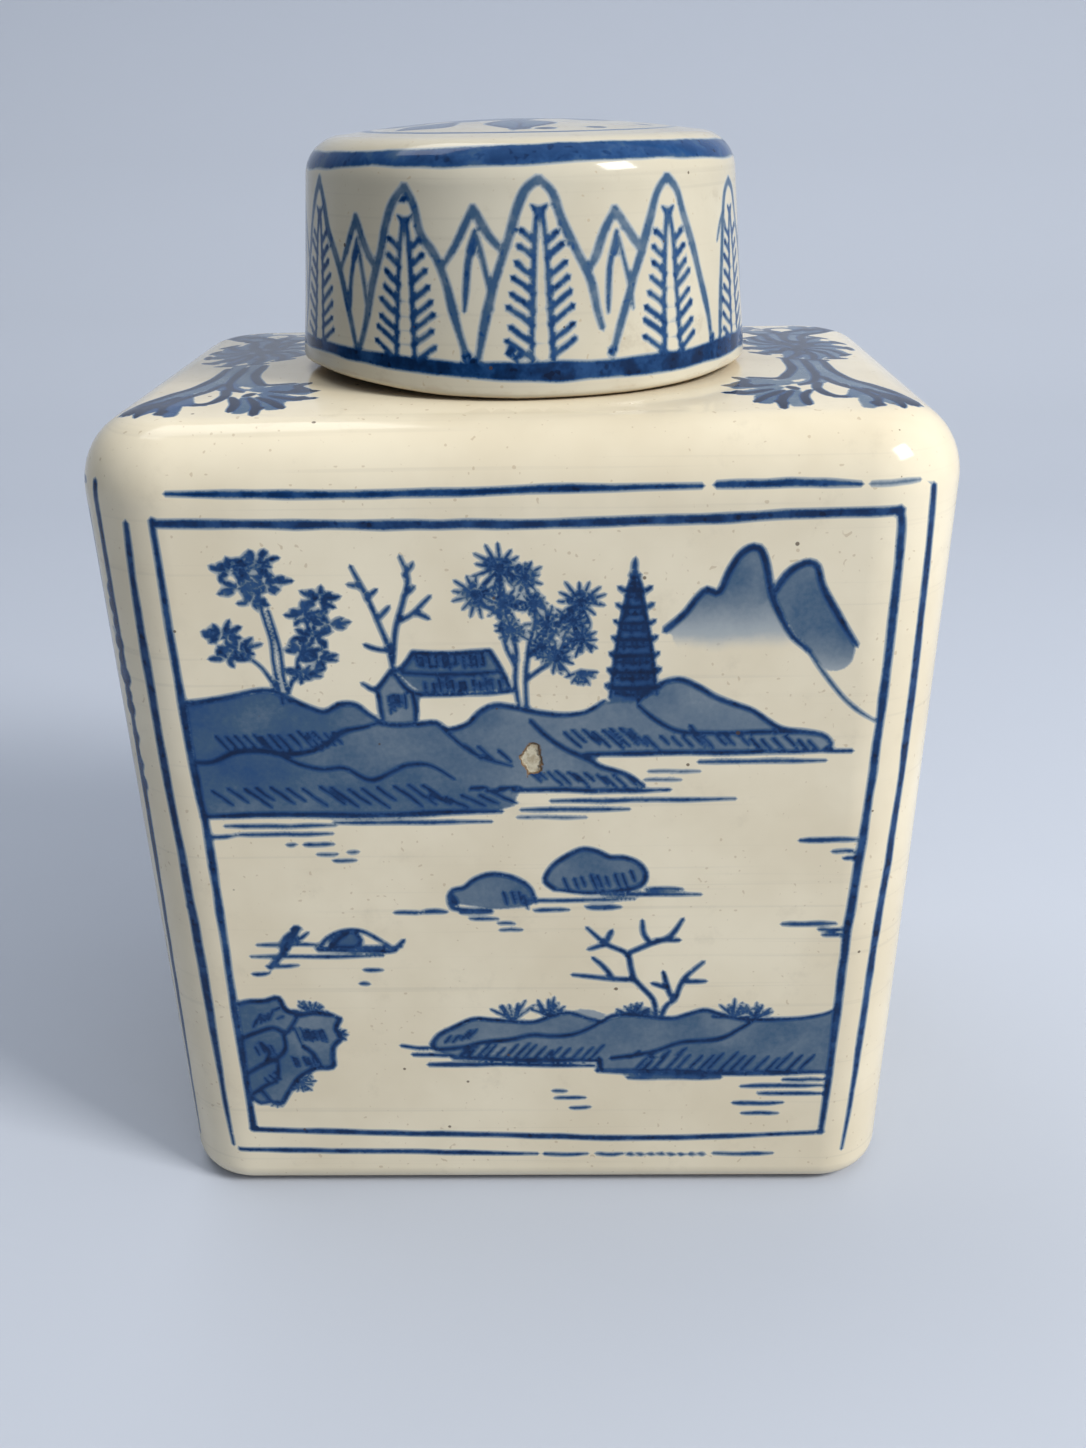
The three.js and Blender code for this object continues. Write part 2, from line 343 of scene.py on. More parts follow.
# The pagoda, tier by tier
front.wash(
    (13.2, 95.4), (12.2, 91), (11.5, 86), (10.9, 79), (17, 79.6), (16.3, 86), (15.6, 91), (14.8, 95.4),
    tone=0.7, soft=False)
front.line((14, 98.2), (13.9, 96.8), (14, 94), width=0.7, ends=(0.4, 1.0))
front.line((13.4, 96.2), (14.6, 96.2), width=0.5)
front.branches(
    ((13.6, 95.6), (13, 92), (12, 87.5), (11, 80)),
    ((14.4, 95.6), (15, 92), (15.9, 87.5), (16.9, 80.4)), width=0.5)
for tier in range(7):
    z, half = 94.2 - 2.15 * tier, 1.2 + 0.26 * tier
    front.line(
        (14 - half - 0.7, z + 0.35), (14 - half, z - 0.05), (14 + half, z - 0.05),
        (14 + half + 0.7, z + 0.35), width=0.62, ends=(0.7, 0.7))
    front.line((14 - half * 0.85, z - 0.85), (14, z - 0.95), (14 + half * 0.85, z - 0.85), width=0.42)
    front.hatch(((14 - half * 0.8, z), (14 + half * 0.8, z), 3 + tier // 2, (0, -1.3), 0.36))

# The far peaks, whose wash thins out below
front.wash(
    (18, 89.3), (20, 91), (21.5, 93), (22.7, 94.2), (24.2, 94), (25.5, 97), (27, 99), (28.7, 99.4),
    (29.7, 97.5), (30.6, 93.5), (31.6, 91), (33.2, 88), (35.3, 86), (32, 84.6), (26, 85), (20, 86),
    tone=0.58, fade=(86.4, 93.4))
front.wash(
    (30.8, 93.8), (32.5, 96.3), (34.5, 97.4), (35.8, 97), (36.5, 94.5), (38, 92), (39.5, 89.6),
    (41, 87), (40.6, 84), (38, 83.4), (35.6, 85.6), (33.8, 88), (32, 91), tone=0.6, fade=(80.5, 88))
front.branches(
    ((17.8, 89), (20, 91), (21.4, 93), (22.6, 94.2), (24.1, 93.8), (25.4, 96.8), (26.9, 99),
     (28.7, 99.5), (29.7, 97.5), (30.5, 93.6), (31.6, 91), (33.2, 88.2), (35.6, 85.9)),
    ((30.7, 93.7), (32.4, 96.2), (34.5, 97.5), (35.8, 97), (36.5, 94.6), (38, 92), (39.4, 89.6),
     (41.3, 86.7)), width=0.75)
front.line((35.5, 86), (37.5, 83), (40, 79.8), (42.2, 77.8), (44.6, 76.2), width=0.4, tone=0.75)

# The hills on the far bank
front.wash(
    (-42.6, 79.6), (-39, 80), (-36, 80.6), (-33, 81.2), (-31, 81), (-29, 80), (-27, 79), (-25, 78.4),
    (-23, 79.3), (-21, 79.2), (-19.5, 78), (-17.5, 76.6), (-13.5, 76.4), (-11, 76.7), (-9.5, 75.8),
    (-7, 76.5), (-5.5, 78), (-3.5, 79), (-1, 78.8), (2, 78), (5, 77.6), (8, 78), (10, 79.2), (14, 79.6),
    (16, 81), (18, 82), (20, 82.3), (22, 81.3), (24, 80), (26.5, 79), (29, 78), (31, 76.5), (33, 75.3),
    (36, 74.8), (38.2, 74.4), (39.2, 73), (38, 72.3), (24, 72.1), (10, 72), (9, 71), (11, 70),
    (13.4, 69), (15.6, 67.6), (15, 66.8), (6, 66.8), (-0.6, 66.8), (-1.5, 64.6), (-4, 63.7),
    (-20, 63.5), (-42.3, 63.3), tone=(0.66, 0.42), soft=False)
front.branches(
    ((-42.6, 79.7), (-39, 80.1), (-36, 80.7), (-33, 81.3), (-31, 81.1), (-29, 80), (-27, 79),
     (-25, 78.4), (-23, 79.4), (-21, 79.3), (-19.5, 78), (-17.6, 76.7)),
    ((-13.4, 76.5), (-11, 76.7), (-9.5, 75.7), (-7, 76.5), (-5.5, 78), (-3.4, 79.1), (-1, 78.8),
     (2, 78), (5, 77.6), (8, 78), (10.2, 79.4)), width=0.6)
front.branches(
    ((14.6, 79.6), (16, 81), (18, 82.1), (20, 82.3), (22, 81.3), (24, 80), (26.5, 79), (29, 78),
     (31, 76.5), (33, 75.3), (36, 74.9), (38.2, 74.4), (39.2, 73), (38.2, 72.3), (41.8, 72.2)),
    width=0.6)
front.line(
    (-42.4, 71.3), (-40, 71.4), (-37, 72.7), (-34, 72.9), (-31, 72.4), (-28, 72.6), (-25.5, 73.6),
    (-23, 75.5), (-20, 76.2), (-17.8, 76.9), width=0.78)
front.line(
    (-31.4, 72.4), (-29, 71), (-26, 70.2), (-23, 70.3), (-20, 68.5), (-17, 69.8), (-15, 70.7),
    (-12, 70.6), (-9, 68.6), width=0.55)
front.line((-10.5, 76.2), (-8, 73.6), (-5, 71.6), (-1.5, 70.4), width=0.45)
front.line(
    (1, 76.8), (3, 74.6), (5.5, 72.7), (8.5, 71.2), (10, 70.2), (13.4, 69), (15.4, 67.4), width=0.6)
front.line((14.6, 78.8), (17, 76.6), (20, 75.1), (24, 74.9), (30, 75), (35.5, 74.8), width=0.5)
front.line((-42.3, 63.3), (-33, 63.6), (-20, 63.4), (-9, 63.7), (-3, 63.8), width=0.78)
front.line((-1.4, 66.9), (5, 66.9), (12, 66.7), (18.8, 66.8), width=0.62)
front.line((8, 72), (16, 72.1), (27, 72.1), (38, 72.2), width=0.62)
front.hatch(
    ((-39.6, 74.9), (-23.6, 75.6), 14, (1.6, -2.2), 0.36),
    ((-41.6, 67.2), (-12, 67.6), 15, (3.2, -2.7), 0.42), ((-13, 66), (-3, 66.4), 5, (2.8, -1.5), 0.4),
    ((-8, 67), (-2, 67), 3, (2.6, 0.1), 0.45), ((-9, 73.6), (-2, 72.4), 3, (1.8, -1.8), 0.35),
    ((0, 69.6), (13.5, 68.8), 11, (1.7, -1.7), 0.36), ((4.6, 75.2), (14.2, 75.4), 8, (2.4, -2.4), 0.36),
    ((15, 74.6), (37, 73.9), 15, (1.6, -1.7), 0.36), ((20.6, 76.4), (22.4, 75.8), 1, (1.6, -1.9), 0.4))

# Still water below the hills
front.ripple(
    (-39.5, -25, 61.9), (-25, -4.4, 62.3), (-42, -38.4, 60.3), (-38.2, -25.4, 60.6), (-29.3, -25.4, 59))
front.ripple(
    (-31.6, -30.4, 59), (-27.7, -25, 57.5), (-23.6, -22.2, 57.8), (-25.6, -22.6, 56.5), width=0.4,
    tone=0.75)
front.ripple((22.4, 38.6, 70.8), (3.4, 27.3, 65.3), (-0.5, 13.6, 64))
front.ripple((16, 22.6, 69.5), (15.6, 20.2, 68.3), (-1, 8, 62.9), width=0.35, tone=0.65)

# Two rocks in the river
front.wash(
    (-10.4, 49.8), (-10, 51.6), (-8.4, 52.2), (-7, 53.5), (-5, 54.2), (-3, 54), (-1, 53.2), (0.5, 51.8),
    (1, 49.6), (-4, 48.8), tone=0.52)
front.wash(
    (2.4, 53.3), (3.4, 55.4), (5.4, 57), (7.5, 57.9), (9.5, 57.5), (11, 56.8), (13, 56.6), (15, 55.6),
    (15.9, 53.8), (14.6, 52), (9, 51.3), (4, 51.8), tone=0.52)
front.branches(
    ((-5, 48.5), (-9.6, 48.8), (-10.5, 50.2), (-10, 51.7), (-8.4, 52.2), (-7, 53.5), (-5, 54.3),
     (-3, 54.1), (-1, 53.3), (0.5, 51.9), (1.1, 49.8)),
    ((3.8, 51.8), (2.4, 53.2), (3.4, 55.4), (5.4, 57), (7.5, 58), (9.5, 57.6), (11, 56.8), (13, 56.7),
     (15, 55.7), (15.9, 53.8), (14.6, 52), (9, 51.2), (4.4, 51.7)), width=0.6)
front.line((-10.3, 50.9), (-9.6, 49.6), width=1.2)
front.hatch(
    ((-3.6, 51.4), (0.2, 51), 4, (0.4, -1.8), 0.4), ((4.6, 53.4), (14.6, 54.4), 9, (0.7, -2.0), 0.38))
front.ripple(
    (-18, -14, 48.3), (-9, -5, 48.2), (0, 14.4, 50.1), (10, 23.3, 50.9), (1, 5.6, 48.5),
    (16, 20.8, 51.8))
front.ripple((-14.2, -10.9, 48.4), (8, 12.6, 49), width=0.7)
front.ripple((-7.8, -4, 47.3), (-4, -1.8, 46.5), (-3.8, -0.8, 45.4), width=0.4)

# The ferry, with a small figure of a few strokes
front.wash((-27.3, 42.7), (-26, 44.4), (-24.4, 45.3), (-23, 44.4), (-23.6, 42.7), tone=0.7)
front.branches(
    ((-28.9, 42.5), (-27.3, 44.4), (-25, 45.5), (-22.6, 45.4), (-20.2, 43.8), (-18.2, 42.3)),
    ((-28.8, 42.4), (-24, 42.1), (-19, 42), (-18, 42.6), (-17, 43.9)),
    ((-23.6, 42.6), (-22.8, 44), (-23.8, 45.4)), ((-17.2, 43.6), (-18.4, 42.4)), width=0.5)
front.line((-27.2, 42.6), (-26, 44.4), (-24.5, 45.2), width=1.1)
front.line((-35.7, 39.5), (-34, 41.6), (-32.4, 43.4), width=0.8)
front.line((-33.6, 42.6), (-33, 44), (-31.6, 45.3), width=1.3)
front.line((-31.9, 45.8), (-31.1, 45.9), width=1.1)
front.line((-32.6, 43.4), (-31.2, 44.2), (-30, 45.2), width=0.5)
front.ripple(
    (-37.2, -28, 43.2), (-38.2, -20, 41.3), (-36.2, -31.8, 39.7), (-38.3, -36, 38.4),
    (-22.8, -20.2, 39), (-28, -17.4, 42.7), (-23.5, -22.2, 36.7))

# Mossy rocks against the left frame
front.wash(
    (-41, 33.4), (-39.5, 33.7), (-35.2, 34.4), (-34.3, 32.3), (-32.5, 31.6), (-30.5, 31.8), (-28, 31.5),
    (-26.8, 30.7), (-27.4, 29), (-26.8, 27.6), (-28, 26), (-28.4, 24.4), (-28.5, 22.3), (-31, 22),
    (-33.4, 20.4), (-35, 18), (-36.5, 15.7), (-38, 16), (-39.6, 15.9), (-40.6, 17), (-41, 20),
    tone=0.55, soft=False)
front.branches(
    ((-41.4, 33.2), (-39.5, 33.8), (-37, 33.9), (-35.2, 34.4), (-34.3, 32.3), (-32.4, 31.6),
     (-30.5, 31.9), (-28, 31.5), (-26.8, 30.7)),
    ((-26.8, 30.7), (-27.5, 29), (-26.8, 27.5), (-28, 26), (-28.3, 24.4), (-28.5, 22.3), (-31, 22),
     (-33.4, 20.4), (-35, 18), (-36.5, 15.6), (-38, 16), (-39.6, 15.8), (-41, 17.4)),
    ((-41.2, 27.3), (-39, 28.3), (-36.4, 29.2), (-34.6, 28.4), (-33.4, 30), (-32.6, 31.4)),
    ((-41.2, 20.9), (-38.5, 22.7), (-36.3, 23.9), (-35, 25.5), (-35, 28.3)), width=0.7)
front.branches(
    ((-40.6, 17.3), (-38.6, 18.9), (-36.6, 20.2), (-36.2, 23.8)), ((-39.2, 18.2), (-38, 16.2)),
    ((-32.4, 26), (-31, 24.6), (-30.6, 23)), ((-38.4, 26.6), (-37.4, 25), (-37.8, 23.6)), width=0.6)
front.hatch(
    ((-39.6, 29.4), (-36.4, 30.6), 5, (0.7, 1.6), 0.3),
    ((-39.6, 25.8), (-36.6, 26.4), 4, (0.5, -1.6), 0.3),
    ((-33.6, 29), (-29, 28.6), 7, (0.6, -2.4), 0.3), ((-34.6, 24), (-30, 23.8), 6, (0.4, -1.6), 0.3),
    ((-38.6, 20.2), (-36.8, 21.6), 3, (0.9, -1.3), 0.3),
    ((-35.4, 33), (-34.6, 30.6), 2, (-1.2, -0.6), 0.3))
for clump in (
        (-30.6, 31.6, 2.6, 11, 190, 90), (-27.2, 28, 1.3, 5, 150, 0, 0.5),
        (-33.4, 19.6, 2.2, 9, 170, -40), (-37, 16, 1.1, 4, 120, -80)):
    front.tuft(*clump)

# The near bank, with grass and a bare tree
front.wash(
    (-14, 26.4), (-13, 27.8), (-11, 29), (-8, 30.4), (-5, 30.2), (0, 29.9), (3, 31), (6, 31.5),
    (8, 30.4), (10, 30.1), (13, 31), (17, 30.7), (20, 30.5), (22, 31.2), (24.5, 32), (27, 31.1),
    (30, 30.4), (38, 30.4), (41, 31), (42.6, 31.8), (42.5, 21.1), (27, 21.1), (9.6, 21.6), (9.6, 23.2),
    (0, 23.2), (-6, 23.5), (-11, 23.9), (-12.6, 24.6), (-13.8, 25.3), tone=(0.5, 0.54), soft=False)
front.wash((4, 31.2), (7.4, 32.2), (10.6, 31.2), (9, 30.4), tone=0.3)
front.wash((12.6, 31), (16, 32.6), (17.4, 30.8), tone=0.3)
front.branches(
    ((-14, 26.3), (-13, 27.8), (-11, 29), (-8, 30.5), (-5, 30.3), (0, 30), (3, 31.1), (5.4, 31.6),
     (8, 30.6), (10, 30)),
    ((10, 30), (11.6, 31), (14, 31.2), (17, 30.8), (20, 30.5), (22, 31.2), (24.5, 32), (27, 31.1),
     (30, 30.4), (34, 30.3), (38, 30.5), (41, 31.1), (42.8, 32)), width=0.6)
front.branches(
    ((-13.8, 26.4), (-13.4, 25.3), (-9.6, 25.7), (-7, 26.5), (-3, 27), (0, 27.7), (3, 27.5), (6, 27.8),
     (8.5, 29), (10, 30.1)), ((-10.2, 23.9), (-8.4, 25.8)),
    ((11.4, 23.6), (15, 24.2), (18, 25), (21, 26.3), (25, 26.7), (27.5, 27.3), (29.5, 28.7),
     (31.2, 30)), width=0.65)
front.line((-14.6, 22.6), (-5, 22.6), (3, 22.5), (9, 22.3), width=0.7)
front.line((-16.8, 24.4), (-13.6, 24.3), (-11, 24.2), width=0.6)
front.line((-18.4, 26), (-16, 25.6), (-13.6, 25.5), width=0.5)
front.line((-11, 23.8), (0, 23.3), (9.6, 23.2), width=0.85)
front.line((9.7, 23.6), (9.8, 21.5), width=0.8)
front.line((9.4, 21.4), (20, 21.1), (30, 20.9), (42.4, 21), width=0.85)
front.line((13.8, 20.2), (20, 20.2), (27, 20.1), width=0.9, tone=0.8)
front.hatch(
    ((-9.6, 24), (9, 23.6), 14, (1.8, 2.2), 0.38), ((-12.6, 26.2), (-8, 27.4), 4, (1.3, 1.6), 0.4),
    ((13.6, 21.6), (39, 21.4), 16, (2.3, 3.0), 0.42), ((13.4, 23.4), (22, 24.4), 4, (1.6, 1.5), 0.4))
for clump in (
        (2.6, 31, 3.2, 7, 110, 95), (-2.4, 30.2, 3.6, 7, 110, 95), (14.4, 31, 2.4, 8, 160, 90),
        (28.6, 30.6, 3.0, 9, 170, 90), (31.6, 30.5, 2.8, 6, 120, 80)):
    front.tuft(*clump)
front.branches(
    ((18.3, 30.8), (19, 32.6), (20.2, 33.8), (20.8, 35.8), (21.6, 37.6), (24, 40)),
    ((20.1, 33.6), (19.3, 35.2), (18.5, 38.4)), ((18.8, 35.8), (17, 36.5)),
    ((21.3, 36.8), (24.4, 36.8)),
    ((17.7, 30.8), (17.2, 33.6), (15.8, 35.5), (14.5, 37.2), (14, 39), (13.4, 41.4), (10.6, 43),
     (8, 45.7)), ((14.6, 37.1), (11, 37.4), (6, 38)), ((11.4, 37.6), (10.4, 39.2), (8.8, 40.8)),
    ((13.4, 41.4), (16.5, 43), (19.3, 44.2), (21, 47)), ((16.5, 43.3), (15.6, 44.8), (15.5, 46.8)),
    ((17.6, 43.6), (20.6, 43.6)), ((10.8, 43), (8.2, 42.2)), ((10.6, 43.4), (11.4, 45.2)), width=0.62)

# Strokes of water at the right frame and below the bank
front.ripple(
    (36, 44, 59.1), (34.4, 41.6, 46.1), (30, 42, 18.5), (32.6, 42.2, 17.2), (29, 36.2, 15.5), width=0.6)
front.ripple(
    (40.4, 43.6, 57.4), (42, 43.8, 56.3), (39.4, 43.2, 45.2), (40, 43.2, 44.3), (30.3, 35.6, 13.6),
    (36, 42.2, 19.7), (3, 5, 17.8), (3.3, 7.7, 16.5), (5.5, 8.4, 14.7), width=0.5)

# The other sides are seen less and painted more plainly: the same frames and quiet river views.
# The outer frame's level strokes stop short of its corners.
FRAME_LOW = 6.8
FRAME_HIGH = 106.8
FRAME_GAP = 4.1
OPEN_CORNER = 3.5


def double_frame(painting, outer, inner, lean=0.9):
    """Two rectangles of brush lines, each stroke a little bowed and set down separately. The
    upright ones come in by the lean towards the foot."""
    for half, gap, width in ((outer, 0.0, 1.1), (inner, FRAME_GAP, 0.95)):
        lower, upper = FRAME_LOW + gap, FRAME_HIGH - gap
        end = half if gap else half - OPEN_CORNER
        painting.line(
            (-end, upper), (-half * 0.3, upper - 0.3), (half * 0.4, upper), (end, upper + 0.1),
            width=width * 0.85, ends=(0.9, 0.6))
        end -= lean
        painting.line((-end, lower), (0, lower - 0.3), (end, lower), width=width * 0.7)
        for side in (-1, 1):
            painting.line(
                (side * half, upper + 0.4), (side * (half + 0.3 - lean * 0.45), (lower + upper) / 2),
                (side * (half - lean), lower - 0.5), width=width, ends=(0.8, 0.5))


def crest_of(left, right, foot, heights):
    """Points at even distances along the top of a bank or a range, at heights above its foot."""
    width = right - left
    return [(left + width * k / (len(heights) - 1), foot + height) for k, height in enumerate(heights)]


def far_hills(painting, left, right, foot, heights):
    """A washed range of hills with a dark crest, its slopes hatched."""
    crest = crest_of(left, right, foot, heights)
    painting.wash(*crest, (right, foot), (left, foot), tone=0.5, soft=False)
    painting.line(*crest, width=0.7)
    painting.line((left, foot), ((left + right) / 2, foot + 0.3), (right, foot), width=0.85)
    for k in range(1, len(heights) - 1, 2):
        x, z = crest[k]
        painting.line((x, z), (x + 3, z - 2.6), (x + 7, foot + 1.6), width=0.5)
    painting.hatch(
        ((left + 2, foot + 2.9), (right - 3, foot + 2.7), int((right - left) / 3), (2.3, -2.2), 0.4))


def near_bank(painting, left, right, foot, heights):
    """A washed bank in front, hatched, with grass on it."""
    crest = crest_of(left, right, foot, heights)
    painting.wash(*crest, (right, foot), (left, foot), tone=0.54, soft=False)
    painting.line(*crest, width=0.65)
    painting.line((left, foot), ((left + right) / 2, foot - 0.2), (right, foot), width=0.8)
    painting.hatch(
        ((left + 1, foot + 0.8), (right - 4, foot + 0.8), int((right - left) / 2.6), (2.1, 2.7), 0.45))
    for share in (0.3, 0.62, 0.8):
        x = left + (right - left) * share
        painting.tuft(x, np.interp(x, *np.array(crest).T) - 0.2, 2.8, 7, 130, 90)


right_side, left_side, back = Painting(), Painting(), Painting()
double_frame(right_side, 30.2, 26.2)
double_frame(left_side, 37.1, 33, lean=4.2)
double_frame(back, 46.6, 42.6)

# Pigment has pooled in blotches on the frame line that is nearest to the front.
for z, size in (
        (93, 1.4), (91, 2.0), (88.6, 1.6), (86, 2.3), (83.6, 1.7), (81.5, 2.5), (79, 1.8), (77, 2.1),
        (73, 1.7), (69, 1.3), (66, 1.6)):
    left_side.line((36.3, z + 0.8), (36.2, z), width=size, ends=(0.8, 0.8))

far_hills(right_side, -25.6, 18, 64, (9, 12, 15, 14, 10, 12, 9, 6, 3, 0.6))
right_side.branches(
    ((-14, 77), (-14.6, 82), (-13.6, 88)), ((-14.3, 81), (-10, 85), (-8, 89)), width=0.5)
for x, z, reach in (
        (-13.6, 89.5, 2.8), (-8, 90.4, 2.3), (-16.6, 85, 2.2), (-10.6, 86.4, 2), (-12, 93, 1.8)):
    right_side.star(x, z, reach, 10, width=0.42)
near_bank(right_side, -8, 25.8, 24, (1, 5, 7, 6, 7.5, 9, 8))
right_side.ripple(
    (-24, -8, 61.6), (-24, -14, 60), (-6, 12, 62), (8, 22, 48), (12, 19, 46.6), (-24, -15, 36),
    (-25, -20, 34.6), (4, 18, 20.6), (-26, -18, 19))

far_hills(left_side, -20, 30.8, 66, (0.6, 4, 7, 10, 8, 11, 14, 12, 13, 10))
left_side.branches(
    ((14, 79), (13.6, 84), (15, 90)), ((13.8, 83), (10, 87), (9, 91)), ((14.4, 86), (18, 88.6)),
    width=0.5)
for x, z, reach in ((15, 91, 2.6), (9, 92, 2.2), (18.6, 89.6, 2.1), (12, 88, 1.8), (16, 94, 1.6)):
    left_side.star(x, z, reach, 10, width=0.42)
near_bank(left_side, -29.6, 6, 23, (8, 9, 7, 7.5, 6, 4, 0.8))
left_side.ripple(
    (8, 30, 63.4), (14, 26, 61.8), (-18, 4, 64), (-22, -8, 47), (-19, -12, 45.6), (14, 27, 38),
    (16, 22, 36.6), (8, 20, 20), (12, 26, 18.6))

far_hills(back, -42, 18, 65, (8, 12, 14, 11, 13, 16, 14, 10, 12, 8, 4, 0.6))
back.wash(
    (18, 84), (22, 90), (25, 92.5), (28, 97), (31, 94), (34, 88), (37, 84), (28, 82.4), tone=0.62,
    fade=(82, 91))
back.line((18, 84), (22, 90), (25, 92.6), (28, 97.2), (31, 94.2), (34, 88), (38, 83), width=0.75)
near_bank(back, 2, 42, 22, (0.8, 4, 7, 6, 8, 10, 8.5, 9))
back.wash((-24, 45), (-22, 49), (-17, 51), (-12, 49.5), (-9, 46), (-14, 44.4), tone=0.5)
back.line((-24, 45.2), (-22, 49), (-17, 51), (-12, 49.6), (-9, 46), (-14, 44.4), (-22, 44.6), width=0.6)
back.ripple(
    (-40, -16, 63), (-38, -24, 61.4), (-28, -4, 43.4), (-24, -14, 42), (18, 40, 60), (24, 36, 58.4),
    (-36, -22, 26), (-32, -26, 24.4), (6, 34, 19), (12, 24, 17.6))

# Flower and leaf scrolls lie along both ends of the shoulder.

shoulder = Painting()

# One leafy end of a scroll, with its twin stems, on the right of the shoulder's near half: the
# dabs of wash with their widths, then the lines over them, then dots of thick pigment
LEAF_DABS = (
    (((37.6, -1), (37.8, -9), (36.4, -15), (33.6, -18.4)), 3.4),
    (((40, -1), (40, -9), (41, -15), (44, -20.4), (46.4, -25)), 3.6),
    (((37.8, -14), (38.2, -18), (35.4, -20.6)), 3.0), (((29, -17.6), (32.4, -20), (35, -19)), 3.6),
    (((26.6, -23), (29.4, -21.4), (33.4, -20.4)), 3.2), (((26.8, -26), (30, -25), (33, -22)), 3.0),
    (((30, -30.6), (30.6, -27.6), (32.6, -24)), 3.0), (((34, -32), (33.8, -28), (34.6, -24)), 2.8),
    (((43, -19), (42.6, -23), (41.2, -27), (38.6, -27.6)), 2.2),
    (((45.4, -23), (46.6, -27.4), (48.6, -29.4)), 2.8), (((44, -22), (44.6, -27), (46.4, -31.6)), 3.2),
    (((43, -26), (43, -29.6), (42, -33)), 3.0))
LEAF_LINES = (
    ((36.3, -2), (36.3, -9), (35, -14), (33.4, -17), (29.6, -16.4)),
    ((38.8, -3), (38.8, -10), (38.6, -15), (37.6, -18.6), (35.6, -21)),
    ((41.4, -3), (41.6, -10), (42.8, -15.6), (45, -19.6), (47, -24), (48.8, -28.4)),
    ((39.4, -15), (40.4, -19), (42.8, -23.4), (44, -27.4), (43.4, -32)),
    ((27.8, -16.4), (29, -18.6), (27, -21)), ((26, -21.6), (29, -22), (32, -21)),
    ((25.6, -25.6), (28.6, -25.6), (31.6, -23.6)), ((29, -29.8), (30.8, -27), (33, -24.4)),
    ((32, -32.6), (32.4, -28.4), (34, -24.6)), ((35.2, -31), (35.2, -27.4), (36.4, -24)),
    ((38.2, -19.4), (37.4, -23), (38.4, -26.6), (40.4, -27.6)), ((45.6, -25), (47.4, -28), (49, -29.4)),
    ((44.8, -26.4), (46.2, -29.6), (46.4, -32)), ((43.6, -22), (45.2, -25.4), (47.6, -30.4)))
LEAF_DOTS = (
    (28.6, -20.4), (31.8, -29.6), (43.4, -30.4), (47.6, -29), (34.2, -22.4), (40.8, -19.6), (27.4, -25))


def scroll_end(side, fold):
    """Paints that end on one side; fold gives where each y of it lies."""

    def laid(*points):
        return [(side * x, fold(y)) for x, y in points]

    for run, width in LEAF_DABS:
        shoulder.dab(*laid(*run), width=width, tone=dice.uniform(0.5, 0.66))
    for run in LEAF_LINES:
        shoulder.line(*laid(*run), width=1.05, tone=1.8, ends=(0.7, 0.5))
    for x, y in LEAF_DOTS:
        shoulder.line(*laid((x, y), (x + 0.5, y - 1.1)), width=1.2, tone=2.0, ends=(1.0, 0.7))


def near_end(y):
    """The end towards the front lies as it is drawn."""
    return y


def far_end(y):
    """The end towards the back is mirrored and shorter."""
    return 13.5 - (y + 2) * 0.6


def petal_point(middle, across, along, angle):
    """A point off the middle of a bloom that is longer from front to back than across."""
    return middle[0] + across * math.cos(angle), middle[1] + along * math.sin(angle)


# A round bloom of thirteen petals lies between the two ends, with dots of thick pigment at its heart.
PETALS = 13
HEART_DOTS = (
    (0, 0), (1.1, 0.8), (-0.9, 1.1), (0.2, -1.3), (2.2, 2.6), (-2, 3), (-1.6, -2.6), (0.6, 4.4),
    (3, -4), (-3.6, -5.6), (1, -6.4))
for side, bloom_y in ((1, 9.5), (-1, 11.0)):
    scroll_end(side, near_end)
    scroll_end(side, far_end)
    bloom = (side * 39.4, bloom_y)
    for k in range(PETALS):
        angle = 2 * math.pi * (k + dice.uniform(-0.15, 0.15)) / PETALS
        reach = (7.6 + dice.uniform(-0.5, 0.8), 11.6 + dice.uniform(-0.8, 0.8))
        tip = petal_point(bloom, *reach, angle)
        shoulder.dab(
            petal_point(bloom, 1, 1, angle), petal_point(bloom, 4.6, 6.6, angle + 0.2), tip, width=3.9,
            tone=dice.uniform(0.5, 0.7))
        shoulder.line(
            petal_point(bloom, 2, 2.6, angle), petal_point(bloom, 5, 7, angle + 0.2), tip, width=1.0,
            tone=1.8)
        shoulder.line(
            (tip[0] - 1.8 * math.sin(angle), tip[1] + 1.4 * math.cos(angle)), tip,
            (tip[0] + 1.6 * math.sin(angle), tip[1] - 1.4 * math.cos(angle)), width=0.9, tone=1.5)
    for dx, dy in HEART_DOTS:
        dot = (bloom[0] + dx, bloom[1] + dy)
        shoulder.line(dot, (dot[0] + 0.3, dot[1] - 1), width=1.5, tone=2.2, ends=(1.0, 0.8))


